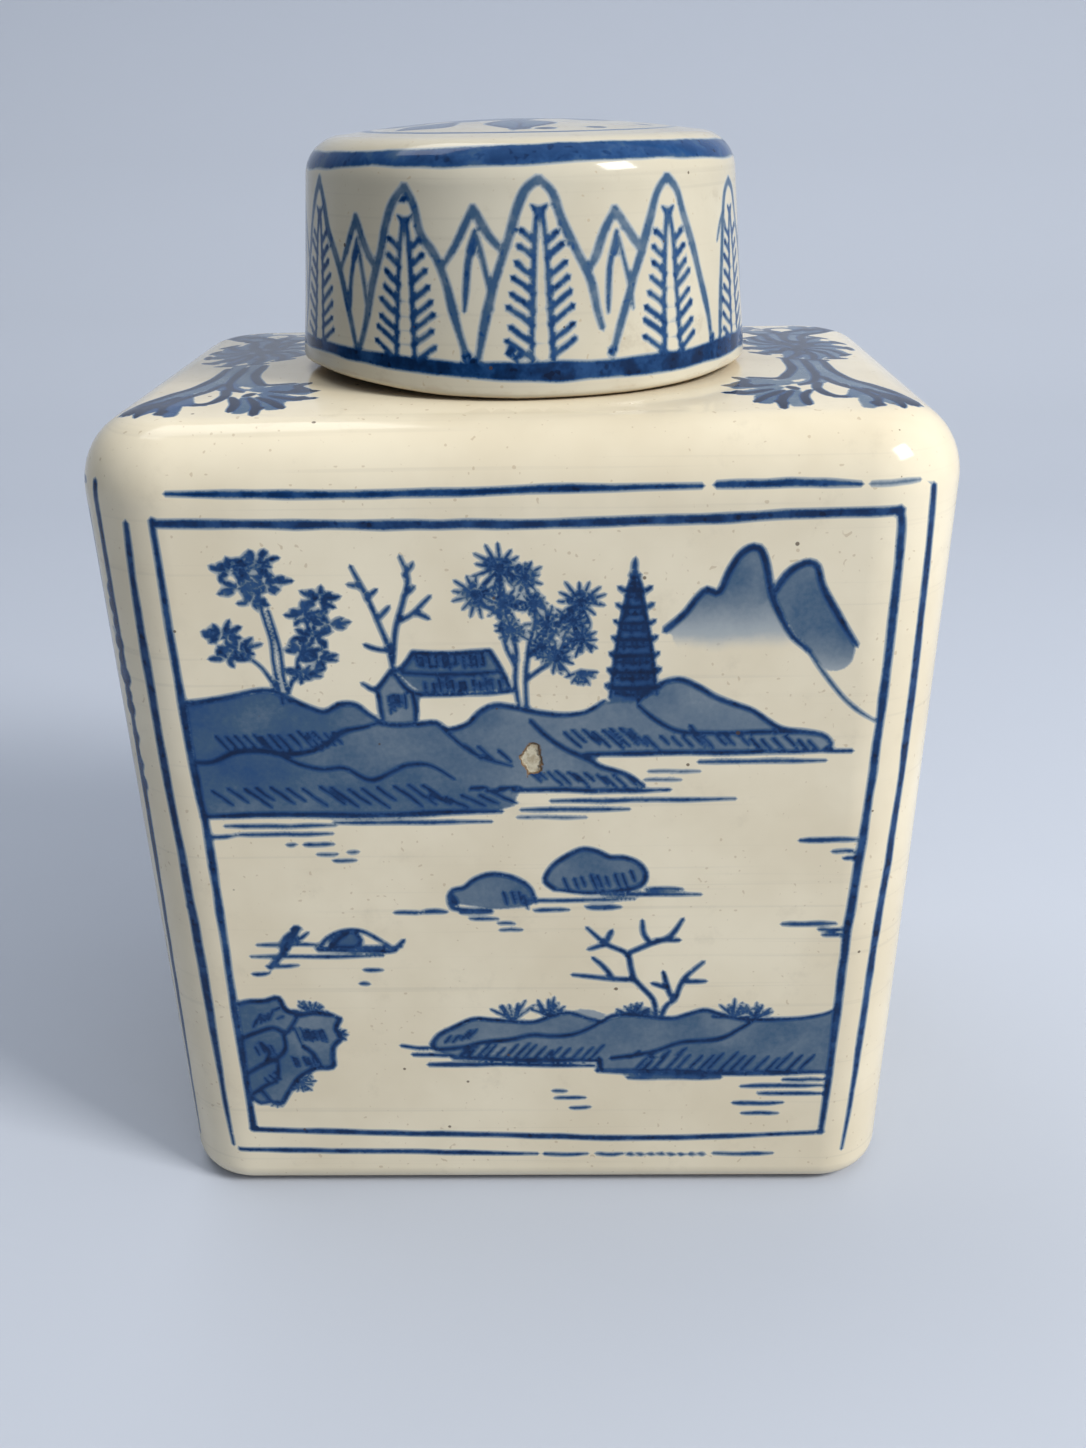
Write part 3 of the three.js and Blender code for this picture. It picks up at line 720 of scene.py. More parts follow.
class Wire:
    """A value or colour on its way through a material's nodes. Sums on it add Math nodes."""

    def __init__(self, tree, socket=None):
        self.tree, self.socket = tree, socket

    def node(self, kind, settings=None, output=0, **inputs):
        """Adds a node of a kind, with its settings first and then its sockets, which are given by
        name, or by number after a letter. It gives one output of the node."""
        node = self.tree.nodes.new(kind)
        for name, value in (settings or {}).items():
            if name == "stops":
                ramp = node.color_ramp
                while len(ramp.elements) < len(value):
                    ramp.elements.new(0.5)
                for stop, (place, colour) in zip(ramp.elements, value):
                    stop.position, stop.color = place, (*colour, 1)
            else:
                setattr(node, name, value)
        for name, value in inputs.items():
            socket = node.inputs[int(name[1:]) if name[1:].isdigit() else name.replace("_", " ")]
            if isinstance(value, Wire):
                self.tree.links.new(value.socket, socket)
            else:
                socket.default_value = value
        return Wire(self.tree, node.outputs[output])

    def math(self, operation, *others):
        """One Math node on this value and the others."""
        values = {f"i{k}": value for k, value in enumerate((self,) + others)}
        return self.node("ShaderNodeMath", {"operation": operation}, **values)

    def __add__(self, other):
        return self.math("ADD", other)

    def __mul__(self, other):
        return self.math("MULTIPLY", other)

    def __sub__(self, other):
        return self.math("SUBTRACT", other)

    def __rsub__(self, other):
        return self.math("MULTIPLY", -1.0).math("ADD", other)

    __radd__, __rmul__ = __add__, __mul__

    def step(self, low, high):
        """0 below low and 1 above high, with a soft run between; the other way if high < low."""
        settings = {"interpolation_type": "SMOOTHSTEP"}
        turned = low > high
        low, high = min(low, high), max(low, high)
        ramp = self.node("ShaderNodeMapRange", settings, Value=self, From_Min=low, From_Max=high)
        return 1 - ramp if turned else ramp

    def mix(self, first, second):
        """From the first colour to the second as this value goes from 0 to 1."""
        return self.node("ShaderNodeMix", {"data_type": "RGBA"}, 2, i0=self, i6=first, i7=second)

    def vector(self, operation, other):
        """One Vector Math node on this vector and another."""
        return self.node("ShaderNodeVectorMath", {"operation": operation}, i0=self, i1=other)

    def into(self, socket):
        """Ends the way at a socket of the shader or the room."""
        self.tree.links.new(self.socket, socket)


def new_material(name):
    """A material, its shader, and helpers for noise and for vertex values by name."""
    material = bpy.data.materials.new(name)
    material.use_nodes = True
    start = Wire(material.node_tree)
    place = start.node("ShaderNodeTexCoord", output=3)

    def noise(scale, detail=3.0, rough=0.55):
        return start.node(
            "ShaderNodeTexNoise", Vector=place, Scale=scale, Detail=detail, Roughness=rough)

    def painted(label):
        return start.node("ShaderNodeAttribute", {"attribute_name": label}, 2)

    return material, material.node_tree.nodes["Principled BSDF"], place, noise, painted


# The colours: cobalt under the glaze, from the palest wash to the thickest pool, then what time
# and the kiln have left in the glaze
COBALT = [
    (0.0, (0.5, 0.5, 0.46)), (0.2, (0.33, 0.365, 0.385)), (0.4, (0.15, 0.198, 0.25)),
    (0.56, (0.05, 0.102, 0.178)), (0.7, (0.016, 0.062, 0.176)), (0.85, (0.004, 0.03, 0.105)),
    (1.0, (0.002, 0.01, 0.038))]
OLD_DIRT = (0.4, 0.34, 0.25, 1)
RUST = (0.4, 0.28, 0.16, 1)
DRIP = (0.3, 0.27, 0.22, 1)
IRON = (0.07, 0.045, 0.03, 1)
BARE_CLAY_TINT = (0.42, 0.29, 0.17, 1)
CHIP_EDGE = (0.2, 0.12, 0.06, 1)
CHIP_DARK = (0.4, 0.33, 0.22, 1)
CHIP_PALE = (0.58, 0.52, 0.38, 1)
DULL_GLOSS = 0.2

# A small chip in the glaze of the front, in metres: its middle, and one over its half sizes
CHIP_PLACE = (0.001, -0.0393, 0.0715)
CHIP_SIZE = (1 / 0.0015, 1 / 0.003, 1 / 0.0026)


def painted_glaze(name, cream, dirt):
    """Clear creamy glaze over cobalt: soft brush edges, pooled spots, stains and iron specks."""
    material, shader, place, noise, painted = new_material(name)

    # Brush lines: a ragged edge, a pale halo, and beads of pigment where the brush was full
    bristle = noise(2400.0, 2.0) - 0.5
    wander = noise(700.0, 2.0) - 0.5
    edge = painted("line") + bristle * 0.18 + wander * 0.14
    line = edge.step(0.31, -0.28)
    bleed = painted("line").step(0.4, -0.04) * painted("line_tone") * 0.34
    load = noise(330.0, 3.0, 0.6)
    beads = noise(820.0, 1.0).step(0.6, 0.74) * 0.14
    ink = line * painted("line_tone") * load.step(0.25, 0.65).math("MULTIPLY_ADD", 0.24, 0.68)
    ink = (ink + line * beads).math("MAXIMUM", bleed)

    # Washes, clouded as they dried, and both together
    wash = (painted("wash") + bristle * 0.3 + wander * 0.3).step(0.24, -0.24)
    cloud = noise(110.0, 4.0).math("MULTIPLY_ADD", 0.75, 0.17)
    cloud = cloud + noise(34.0, 2.0) * 0.5 + noise(1500.0, 2.0) * 0.2
    pool = wash * painted("wash_tone") * cloud
    pigment = 1 - (1 - ink) * (1 - pool)

    # The creamy ground drifts in tone, and has stains, rusty dots and faint upright drips
    deeper = (cream[0] * 0.88, cream[1] * 0.86, cream[2] * 0.83, 1)
    clay = noise(38.0, 4.0).step(0.3, 0.7).mix((*cream, 1), deeper)
    stain = noise(170.0, 5.0, 0.7).step(0.56, 0.76) * dirt
    clay = stain.mix(clay, OLD_DIRT)
    rust = noise(1500.0, 0.0).step(0.78, 0.84) * 0.4
    clay = rust.mix(clay, RUST)
    long = place.vector("MULTIPLY", (14.0, 14.0, 1100.0))
    streak = clay.node("ShaderNodeTexNoise", Vector=long, Scale=1.0, Detail=2.0).step(0.6, 0.75) * 0.12
    clay = streak.mix(clay, DRIP)
    cobalt = clay.node("ShaderNodeValToRGB", {"stops": COBALT}, Fac=pigment)
    colour = pigment.step(0.0, 0.16).mix(clay, cobalt)

    # Iron specks, only in the few cells whose chance is high enough
    cells = {"feature": "F1"}
    speck = clay.node("ShaderNodeTexVoronoi", cells, Vector=place, Scale=330.0, Randomness=1.0)
    chance = clay.node("ShaderNodeTexVoronoi", cells, 1, Vector=place, Scale=330.0, Randomness=1.0)
    chance = chance.node("ShaderNodeSeparateColor", Color=chance)
    size = chance.math("SUBTRACT", 0.8).math("MAXIMUM", 0.0) * 0.55
    iron = (speck - size).step(0.015, -0.02)
    colour = (iron * 0.8).mix(colour, IRON)

    # Bare clay colour where the bare values ask for it, and the chip with its dark edge
    clay_showing = painted("bare") + (noise(300.0, 3.0) - 0.5) * 0.5
    clay_showing = clay_showing.step(0.45, 0.75)
    colour = (clay_showing * 0.75).mix(colour, BARE_CLAY_TINT)
    away = place.vector("SUBTRACT", CHIP_PLACE).vector("MULTIPLY", CHIP_SIZE)
    away = away.node("ShaderNodeVectorMath", {"operation": "LENGTH"}, 1, i0=away) + wander * 1.3
    chipped = away.step(1.0, 0.86)
    colour = chipped.mix(colour, CHIP_EDGE)
    body = noise(1400.0, 3.0).step(0.35, 0.65).mix(CHIP_DARK, CHIP_PALE)
    colour = away.step(0.84, 0.66).mix(colour, body)
    colour.into(shader.inputs["Base Color"])

    clay_showing = clay_showing.math("MAXIMUM", chipped)
    (clay_showing * 0.5 + 0.1).into(shader.inputs["Roughness"])
    swell = noise(42.0, 2.0) * 0.00016 + noise(520.0, 2.0) * 0.000005 - away.step(1.0, 0.6) * 0.0004
    swell.node("ShaderNodeBump", Strength=1.0, Distance=1.0, Height=swell).into(shader.inputs["Normal"])
    shader.inputs["Specular IOR Level"].default_value = DULL_GLOSS
    return material


JAR_CREAM = (0.79, 0.705, 0.535)
JAR_DIRT = 0.16
jar_glaze = painted_glaze("jar_glaze", JAR_CREAM, JAR_DIRT)

# The unglazed clay of the underside
bare_clay, shader, _, noise, _ = new_material("bare_clay")
grain = noise(900.0, 4.0).step(0.3, 0.7)
grain.mix((0.5, 0.4, 0.28, 1), (0.36, 0.27, 0.18, 1)).into(shader.inputs["Base Color"])
shader.inputs["Roughness"].default_value = 0.85


def section(z, inset=0.0):
    """Half width, half depth and corner radius of the body at a height."""
    share = z / HEIGHT
    lean = WALL_LEAN * (1 - share) + inset
    radius = CORNER_BASE + (CORNER_TOP - CORNER_BASE) * share - inset
    return SHOULDER_HALF_WIDTH - lean, SHOULDER_HALF_DEPTH - lean, radius


def edge_inset(z):
    """How far the soft edges at the top and bottom have drawn in at a height."""
    share = np.clip((z - HEIGHT + EDGE_DROP) / EDGE_DROP, 0, 1)
    low = np.clip(1 - z / BASE_EDGE, 0, 1)
    return EDGE_INSET * (1 - np.sqrt(1 - share**2)) + BASE_EDGE * (1 - np.sqrt(1 - low**2))


# The wall is one strip round the jar: a place on it is a distance round at half height, counted
# from the middle of the front, and a height. The faces follow as front, right, back and left.
MID_WIDTH, MID_DEPTH, MID_CORNER = section(HEIGHT / 2)
FLATS = (MID_WIDTH - MID_CORNER, MID_DEPTH - MID_CORNER) * 2
ARC = MID_CORNER * QUARTER
AROUND = 2 * sum(FLATS) + 4 * ARC
CENTRES = (0.0, FLATS[0] + ARC + FLATS[1], AROUND / 2, AROUND - FLATS[0] - ARC - FLATS[1])
SEAM = -(FLATS[0] + ARC + 2 * FLATS[1] + ARC / 2)
OFF_THE_FACE = 999


def wall_place(around, z):
    """The point of the wall at a distance round and a height."""
    half_width, half_depth, radius = section(z, edge_inset(z))
    x, y = np.zeros_like(z), np.zeros_like(z)
    for face, centre in enumerate(CENTRES):
        reach = (half_depth, half_width)[face % 2]
        flat = (half_width, half_depth)[face % 2] - radius
        local = (around - centre + FLATS[face]) % AROUND - FLATS[face]
        turn = np.clip((local - FLATS[face]) / ARC, 0, 1) * QUARTER
        along = np.minimum(local / FLATS[face], 1) * flat + radius * np.sin(turn)
        out = reach - radius + radius * np.cos(turn)
        mine = local <= FLATS[face] + ARC
        spin = face * QUARTER
        x = np.where(mine, along * np.cos(spin) + out * np.sin(spin), x)
        y = np.where(mine, along * np.sin(spin) - out * np.cos(spin), y)
    return np.stack([x, y, z], -1)


def to_face(face, around, z):
    """A place of the strip in one face's own millimetres from its middle line."""
    _, _, radius = section(z)
    flat = section(z)[face % 2] - radius
    local = (around - CENTRES[face] + AROUND / 2) % AROUND - AROUND / 2
    past = (np.abs(local) - FLATS[face]) / ARC
    s = np.where(past > 0, flat + past * radius * QUARTER, np.abs(local) / FLATS[face] * flat)
    s = np.where(past > 1, OFF_THE_FACE, s)
    return np.stack([np.sign(local) * s, z], -1)


def from_face(face, s, z):
    """The same the other way: millimetres on a face to the distance round the strip."""
    _, _, radius = section(z)
    flat = section(z)[face % 2] - radius
    past = (np.abs(s) - flat) / (radius * QUARTER)
    local = np.where(past > 0, FLATS[face] + past * ARC, np.abs(s) / flat * FLATS[face])
    return CENTRES[face] + np.sign(s) * local


def shoulder_height(place):
    """How high the shoulder stands at a place seen from above."""
    x, y = np.abs(place[:, 0]), np.abs(place[:, 1])
    depth = np.full(len(place), EDGE_INSET)
    for _ in range(3):
        z = HEIGHT - EDGE_DROP * (1 - np.sqrt(np.clip(1 - (1 - depth / EDGE_INSET) ** 2, 0, 1)))
        half_width, half_depth, radius = section(z)
        over_x, over_y = x - half_width + radius, y - half_depth + radius
        corner = np.hypot(np.maximum(over_x, 0), np.maximum(over_y, 0))
        offset = corner + np.minimum(np.maximum(over_x, over_y), 0) - radius
        depth = np.clip(-offset, 0, EDGE_INSET)
    flat = np.maximum(-offset - EDGE_INSET, 0)
    outside_seat = np.maximum(np.hypot(x, y) - SEAT_RADIUS, 0)
    share = flat / np.maximum(flat + outside_seat, 1e-6)
    return z + SHOULDER_RISE * (1 - (1 - share) ** 2)


PAINTED = {"line": FAR, "line_tone": 1.0, "wash": FAR, "wash_tone": 0.0, "bare": 0.0}


class Skin:
    """Collects the vertices, faces and painted values of one piece, and its unfolded map."""

    def __init__(self):
        self.places, self.normals, self.faces, self.slots, self.unfolded = [], [], [], [], []
        self.values = {name: [] for name in PAINTED}
        self.count = 0

    def add(self, places, normals=None, values=None, bare=0.0):
        """Adds vertices and gives their numbers. Normals left out are averaged from the faces."""
        self.places.append(places)
        self.normals.append(np.zeros_like(places) if normals is None else normals)
        values = values or {name: np.full(len(places), blank) for name, blank in PAINTED.items()}
        for name, store in self.values.items():
            store.append(values[name] + bare if name == "bare" else values[name])
        self.count += len(places)
        return list(range(self.count - len(places), self.count))

    def face(self, corners, unfolded, slot=0):
        """Adds one face by its vertices' numbers, with where each lies on the unfolded map."""
        self.faces.append(corners)
        self.unfolded.extend(unfolded)
        self.slots.append(slot)

    def band(self, low, high, region, slot=0):
        """Joins two closed rings that have as many vertices. The region is the left, bottom, right
        and top of their place on the unfolded map."""
        left, bottom, right, top = region
        run = np.linspace(left, right, len(low) + 1)
        for k, (a, b, c, d) in enumerate(zip(low, low[1:] + low[:1], high[1:] + high[:1], high)):
            u, v = run[k], run[k + 1]
            self.face((a, b, c, d), ((u, bottom), (v, bottom), (v, top), (u, top)), slot)

    def rings(self, rings, region, slot=0):
        """Joins a row of rings; the last one's centre is closed with a fan."""
        left, bottom, right, top = region
        heights = np.linspace(bottom, top, len(rings) + 1)
        for k, (low, high) in enumerate(zip(rings, rings[1:])):
            self.band(low, high, (left, heights[k], right, heights[k + 1]), slot)
        last = rings[-1]
        place = np.vstack(self.places)[last].mean(0)
        centre = self.add(place[None])[0]
        run = np.linspace(left, right, len(last) + 1)
        for k, (a, b) in enumerate(zip(last, last[1:] + last[:1])):
            u, v = run[k], run[k + 1]
            self.face((a, b, centre), ((u, heights[-2]), (v, heights[-2]), ((u + v) / 2, top)), slot)

    def piece(self, name, materials):
        """Makes the object, in metres, with its painted values, its map and its normals."""
        mesh = bpy.data.meshes.new(name)
        mesh.from_pydata((np.vstack(self.places) * MM).tolist(), [], self.faces)
        for material in materials:
            mesh.materials.append(material)
        mesh.polygons.foreach_set("material_index", self.slots)
        mesh.polygons.foreach_set("use_smooth", [True] * len(self.faces))
        for label, parts in self.values.items():
            layer = mesh.attributes.new(label, "FLOAT", "POINT")
            layer.data.foreach_set("value", np.concatenate(parts))
        unfolded = mesh.uv_layers.new(name="OFBake")
        unfolded.uv.foreach_set("vector", np.array(self.unfolded).ravel())
        mesh.update()
        own = np.zeros(3 * self.count)
        mesh.vertices.foreach_get("normal", own)
        own = own.reshape(-1, 3)
        exact = np.vstack(self.normals)
        known = np.abs(exact).sum(1) > 0.5
        own[known] = exact[known]
        mesh.normals_split_custom_set_from_vertices(own.tolist())
        piece = bpy.data.objects.new(name, mesh)
        bpy.context.collection.objects.link(piece)
        return piece


# Of the points in one small cell only one is kept, and none lies within MARGIN of a border.
CELL = 0.17
MARGIN = 0.3


def thinned(spots):
    """One point of each small cell, the first one given."""
    _, first = np.unique(np.round(spots / CELL), axis=0, return_index=True)
    return spots[np.sort(first)]


def triangles(border, loops, free):
    """Fills the border's loops with triangles that use every free point."""
    every = np.vstack([border, free])
    edges = [(a, b) for loop in loops for a, b in zip(loop, loop[1:] + loop[:1])]
    points = [Vector(p) for p in every.tolist()]
    _, _, faces, origins, _, _ = delaunay_2d_cdt(points, edges, [], 1, 1e-5)
    source = [group[0] if group else None for group in origins]
    return every, [[source[v] for v in corners] for corners in faces]


def strip(columns, rows, ends, heights, spots):
    """The triangles of a wall that goes once round a piece, laid flat. It has columns and rows, and
    ends where it closes on itself. Besides the points and faces it gives, for each point of the
    right end, the point of the left end that is the same vertex."""
    left, right = ends
    low, high = heights
    count = len(columns)
    end_rows = np.r_[low, rows, high]
    border = [(u, low) for u in columns] + [(u, high) for u in columns]
    border += [(left, v) for v in rows] + [(right, v) for v in end_rows]
    first_left, first_right = 2 * count, 2 * count + len(rows)
    loop = list(range(count)) + list(range(first_right, first_right + len(end_rows)))
    loop += list(range(count, 2 * count))[::-1] + list(range(first_left, first_right))[::-1]
    grid = [(u, v) for v in rows for u in columns[1:]]
    free = thinned(np.vstack([spots, grid]))
    free = free[(free > (left + MARGIN, low + MARGIN)).all(1)]
    free = free[(free < (right - MARGIN, high - MARGIN)).all(1)]
    flat, cells = triangles(np.array(border), [loop], free)
    same = {first_right + 1 + k: first_left + k for k in range(len(rows))}
    same[first_right] = 0
    same[first_right + len(end_rows) - 1] = count
    return flat, cells, same


def surface_normals(places, ahead, across):
    """Unit normals from three nearby points of the same smooth surface."""
    normals = np.cross(ahead - places, across - places)
    return normals / np.linalg.norm(normals, axis=1)[:, None]


def merged(readings, count):
    """The paintings that meet on one surface, each where it is nearest."""
    values = {name: np.full(count, blank) for name, blank in PAINTED.items()}
    for seen in readings:
        for kind in ("line", "wash"):
            better = seen[kind] < values[kind]
            values[kind][better] = seen[kind][better]
            values[kind + "_tone"][better] = seen[kind + "_tone"][better]
    return values


def circle(radius, z, count, start=0.0):
    """Points at even distances on a level circle, from a start angle on."""
    angles = np.linspace(0, 2 * math.pi, count, endpoint=False) + start
    return np.stack([radius * np.cos(angles), radius * np.sin(angles), np.full(count, z)], -1)


def soft_height(degrees):
    """A height on the shoulder's soft edge, which turns from upright at 0 to level at 90."""
    return HEIGHT - EDGE_DROP * (1 - math.sin(math.radians(degrees)))


sides = [front, right_side, back, left_side]
jar = Skin()

# The wall strip, from the round at the underside to halfway over the shoulder's soft edge. Plain
# parts have a vertex about every FLAT_STEP, and normals are taken to points NUDGE away.
FLAT_STEP = 3.2
CORNER_STEPS = 18
NUDGE = 0.05
wall_low = BASE_EDGE
wall_top = soft_height(45)
ring_places = []
for reach, centre in zip(FLATS, CENTRES):
    steps = round(2 * reach / FLAT_STEP)
    ring_places += [centre - reach + 2 * reach * k / steps for k in range(steps)]
    ring_places += [centre + reach + ARC * k / CORNER_STEPS for k in range(CORNER_STEPS)]
ring_places = np.array(sorted((np.array(ring_places) - SEAM) % AROUND + SEAM))
ring = len(ring_places)
soft_rows = [soft_height(degrees) for degrees in (0, 8, 16, 24, 31, 38)]
rows = np.r_[np.linspace(wall_low, soft_rows[0], 33)[1:-1], soft_rows]

spots = []
for face, painting in enumerate(sides):
    drawn = painting.detail()
    spots.append(np.stack([from_face(face, drawn[:, 0], drawn[:, 1]), drawn[:, 1]], -1))
spots = np.vstack(spots)
spots[:, 0] = (spots[:, 0] - SEAM) % AROUND + SEAM
flat, cells, same = strip(ring_places, rows, (SEAM, SEAM + AROUND), (wall_low, wall_top), spots)
around, z = flat.T
places = wall_place(around, z)
turned = surface_normals(places, wall_place(around + NUDGE, z), wall_place(around, z + NUDGE))
seen = [painting.read(to_face(face, around, z)) for face, painting in enumerate(sides)]
wall_ids = jar.add(places, turned, merged(seen, len(flat)))

# Where each face lies on the unfolded map: its corner there and its scale, the front's largest
MAPS = ((0.01, 0.01, 0.0062), (0.69, 0.35, 0.0029), (0.69, 0.01, 0.0028), (0.69, 0.68, 0.0028))
MAP_HALF = [reach + ARC / 2 for reach in FLATS]


def unfolded(face, around, z):
    """Where a place of the wall lies on the unfolded map."""
    left, bottom, scale = MAPS[face]
    local = (around - CENTRES[face] + AROUND / 2) % AROUND - AROUND / 2
    return left + (local + MAP_HALF[face]) * scale, bottom + (z - wall_low) * scale


middles = around[np.array([corners[:3] for corners in cells])].mean(1)
for corners, middle in zip(cells, middles):
    offsets = [abs((middle - centre + AROUND / 2) % AROUND - AROUND / 2) for centre in CENTRES]
    face = int(np.argmin([offset - reach for offset, reach in zip(offsets, FLATS)]))
    spread = [unfolded(face, around[v], z[v]) for v in corners]
    jar.face([wall_ids[same.get(v, v)] for v in corners], spread)
low_ids, top_ids = wall_ids[:ring], wall_ids[ring:2 * ring]

# The shoulder, from that row in to the neck. Its plain grid keeps to GRID_REACH and clear of the
# lid's seat, which has rings of its own.
ROUND_STEPS = 64
SHOULDER_NUDGE = 0.03
GRID_REACH = (45, 31)
GRID_HOLE = 33
top_row = np.vstack(jar.places)[top_ids]
neck_row = circle(NECK_RADIUS, SEAT, ROUND_STEPS)
soft = []
for degrees in (53, 61, 69, 77, 84, 90):
    soft.append(wall_place(ring_places, np.full(ring, soft_height(degrees)))[:, :2])
grid = np.stack(np.meshgrid(np.arange(-46, 47, 2.5), np.arange(-32, 33, 2.5)), -1).reshape(-1, 2)
grid = grid[(np.abs(grid) < GRID_REACH).all(1) & (np.hypot(*grid.T) > GRID_HOLE)]
seat_rows = [circle(radius, 0, 96)[:, :2] for radius in (27.4, 29.3, 30.4, 31.6)]
free = thinned(np.vstack(soft + [grid] + seat_rows + [shoulder.detail()]))
room_x, room_y, room_round = section(wall_top, edge_inset(wall_top))
over = np.maximum(np.abs(free) - (room_x - room_round, room_y - room_round), 0)
free = free[(np.hypot(*over.T) < room_round - MARGIN) & (np.hypot(*free.T) > NECK_RADIUS + MARGIN)]
free = free[(np.abs(free) < (room_x - MARGIN, room_y - MARGIN)).all(1)]
loops = [list(range(ring)), list(range(ring, ring + ROUND_STEPS))]
flat, cells = triangles(np.vstack([top_row[:, :2], neck_row[:, :2]]), loops, free)
height = shoulder_height(flat)
height[ring:ring + ROUND_STEPS] = SEAT


def on_shoulder(shift):
    """The shoulder's points after a small level shift, for its normals."""
    moved = flat + shift
    return np.column_stack([moved, shoulder_height(moved)])


turned = surface_normals(
    on_shoulder((0, 0)), on_shoulder((SHOULDER_NUDGE, 0)), on_shoulder((0, SHOULDER_NUDGE)))
seen = shoulder.read(flat[ring:])
fresh = jar.add(np.column_stack([flat, height])[ring:], turned[ring:], merged([seen], len(flat) - ring))
shoulder_ids = top_ids + fresh

# The corner of the shoulder on the unfolded map, and its scale there
SHOULDER_MAP = np.array((0.01, 0.69))
SHOULDER_CORNER = (56, 41.5)
SHOULDER_SCALE = 0.0037
for corners in cells:
    if np.hypot(*flat[corners].mean(0)) > NECK_RADIUS:
        spread = SHOULDER_MAP + (flat[corners] + SHOULDER_CORNER) * SHOULDER_SCALE
        jar.face([shoulder_ids[v] for v in corners], spread.tolist())
neck_ids = fresh[:ROUND_STEPS]

# The neck with its rounded lip, and the hollow inside with its rounded edges. A quarter of a ring
# has twelve steps round a corner of the hollow and four along a side.
ROOM_CORNER = 12
ROOM_SIDE = 4


def room_ring(z, inset):
    """A rounded rectangle with the same number of points as the neck's rings."""
    half_width, half_depth, radius = section(z, inset)
    flat_x, flat_y = half_width - radius, half_depth - radius
    points = []
    for k, (sx, sy) in enumerate(((1, 1), (-1, 1), (-1, -1), (1, -1))):
        run = (0, -2 * flat_y * sy) if k % 2 else (-2 * flat_x * sx, 0)
        for step in range(ROOM_CORNER + ROOM_SIDE):
            angle = math.radians(90 * (k + min(step / ROOM_CORNER, 1)))
            past = max(step - ROOM_CORNER, 0) / ROOM_SIDE
            x = sx * flat_x + radius * math.cos(angle) + run[0] * past
            y = sy * flat_y + radius * math.sin(angle) + run[1] * past
            points.append((x, y, z))
    return np.array(points)


EDGE_TURNS = np.radians((0, 22, 45, 67, 90))
LIP_TURNS = np.radians(np.linspace(0, 180, 9))
bore = NECK_RADIUS - NECK_WALL
lip = NECK_WALL / 2
hollow = [neck_ids]
for angle in LIP_TURNS:
    reach = NECK_RADIUS - lip + lip * math.cos(angle)
    hollow.append(jar.add(circle(reach, SEAT + NECK_HEIGHT - lip * (1 - math.sin(angle)), ROUND_STEPS)))

# The lowest rings of the neck turn a little, so that they meet the first ring of the hollow.
RING_TURN = math.radians(11.25)
TURN_HEIGHT = 8
for radius, z in ((bore, CEILING + 1.5), (bore + 0.4, CEILING + 0.4), (bore + 1.5, CEILING)):
    turn = RING_TURN * (CEILING + TURN_HEIGHT - z) / TURN_HEIGHT
    hollow.append(jar.add(circle(radius, z, ROUND_STEPS, turn)))
for angle in EDGE_TURNS:
    inset = WALL + INNER_EDGE * (1 - math.sin(angle))
    hollow.append(jar.add(room_ring(CEILING - INNER_EDGE * (1 - math.cos(angle)), inset)))
for z in (90, 60, 30):
    hollow.append(jar.add(room_ring(z, WALL)))
for angle in EDGE_TURNS:
    inset = WALL + INNER_EDGE * (1 - math.cos(angle))
    hollow.append(jar.add(room_ring(FLOOR + INNER_EDGE * (1 - math.sin(angle)), inset)))
hollow.append(jar.add(np.vstack(jar.places)[hollow[-1]] * (0.5, 0.5, 1)))
jar.rings(hollow, (0.44, 0.7, 0.67, 0.85))

# The round at the foot, glazed, its colour drawn more and more to the bare clay's towards its lower
# edge, and the bare underside
foot = []
for degrees, clay_tint in ((72, 0.1), (54, 0.5), (36, 0.85), (18, 1.0), (0, 1.0)):
    height = BASE_EDGE * (1 - math.cos(math.radians(degrees)))
    foot.append(jar.add(wall_place(ring_places, np.full(ring, height)), bare=clay_tint))
for upper, lower, low, high in (
        (low_ids, foot[0], 0.855, 0.863), (foot[0], foot[1], 0.863, 0.871),
        (foot[1], foot[2], 0.871, 0.88)):
    jar.band(lower, upper, (0.44, low, 0.67, high))
bare = foot[2:]
for share in (0.93, 0.6, 0.3):
    bare.append(jar.add(np.vstack(jar.places)[foot[-1]] * (share, share, 1)))
bare = [ids[::-1] for ids in bare]
jar.rings(bare, (0.44, 0.89, 0.67, 0.99), slot=1)

jar_piece = jar.piece("painted_jar", [jar_glaze, bare_clay])
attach(jar_piece, "root")
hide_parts("jar_body")

# The lid: a deep round cap, turned in the same clay, painted and glazed like the jar. It slips
# over the neck and stands on the shoulder. Its rim has lifted a little at the sides in firing.

LID_RIM = 30.5
LID_TOP = 28.6
LID_HEIGHT = 29.4
LID_DOME = 1.6
LID_EDGE = 5.2
RIM_ROUND = 0.8
LID_WALL = 3.2
LID_BASE = SEAT + 0.2
SIDE_TOP = LID_HEIGHT - LID_EDGE
EDGE_END = SIDE_TOP + LID_EDGE * QUARTER
DISC = LID_TOP - LID_EDGE
UNROLLED = 29.5
LID_AROUND = 2 * math.pi * UNROLLED
LIFT_HEIGHT = 9.0

# The lid's cream is the jar's glaze, a little greyer as its own tone and about a fifth darker as
# painted shade over the whole lid.
LID_CREAM_SHADED = (0.625, 0.575, 0.455)
LID_DIRT = 0.45
lid_glaze = painted_glaze("lid_glaze", LID_CREAM_SHADED, LID_DIRT)

# The lid's wall: two broad bands, and between them upright leaves, tall and small in turn. It is
# painted unrolled, from the middle of the front to both sides.

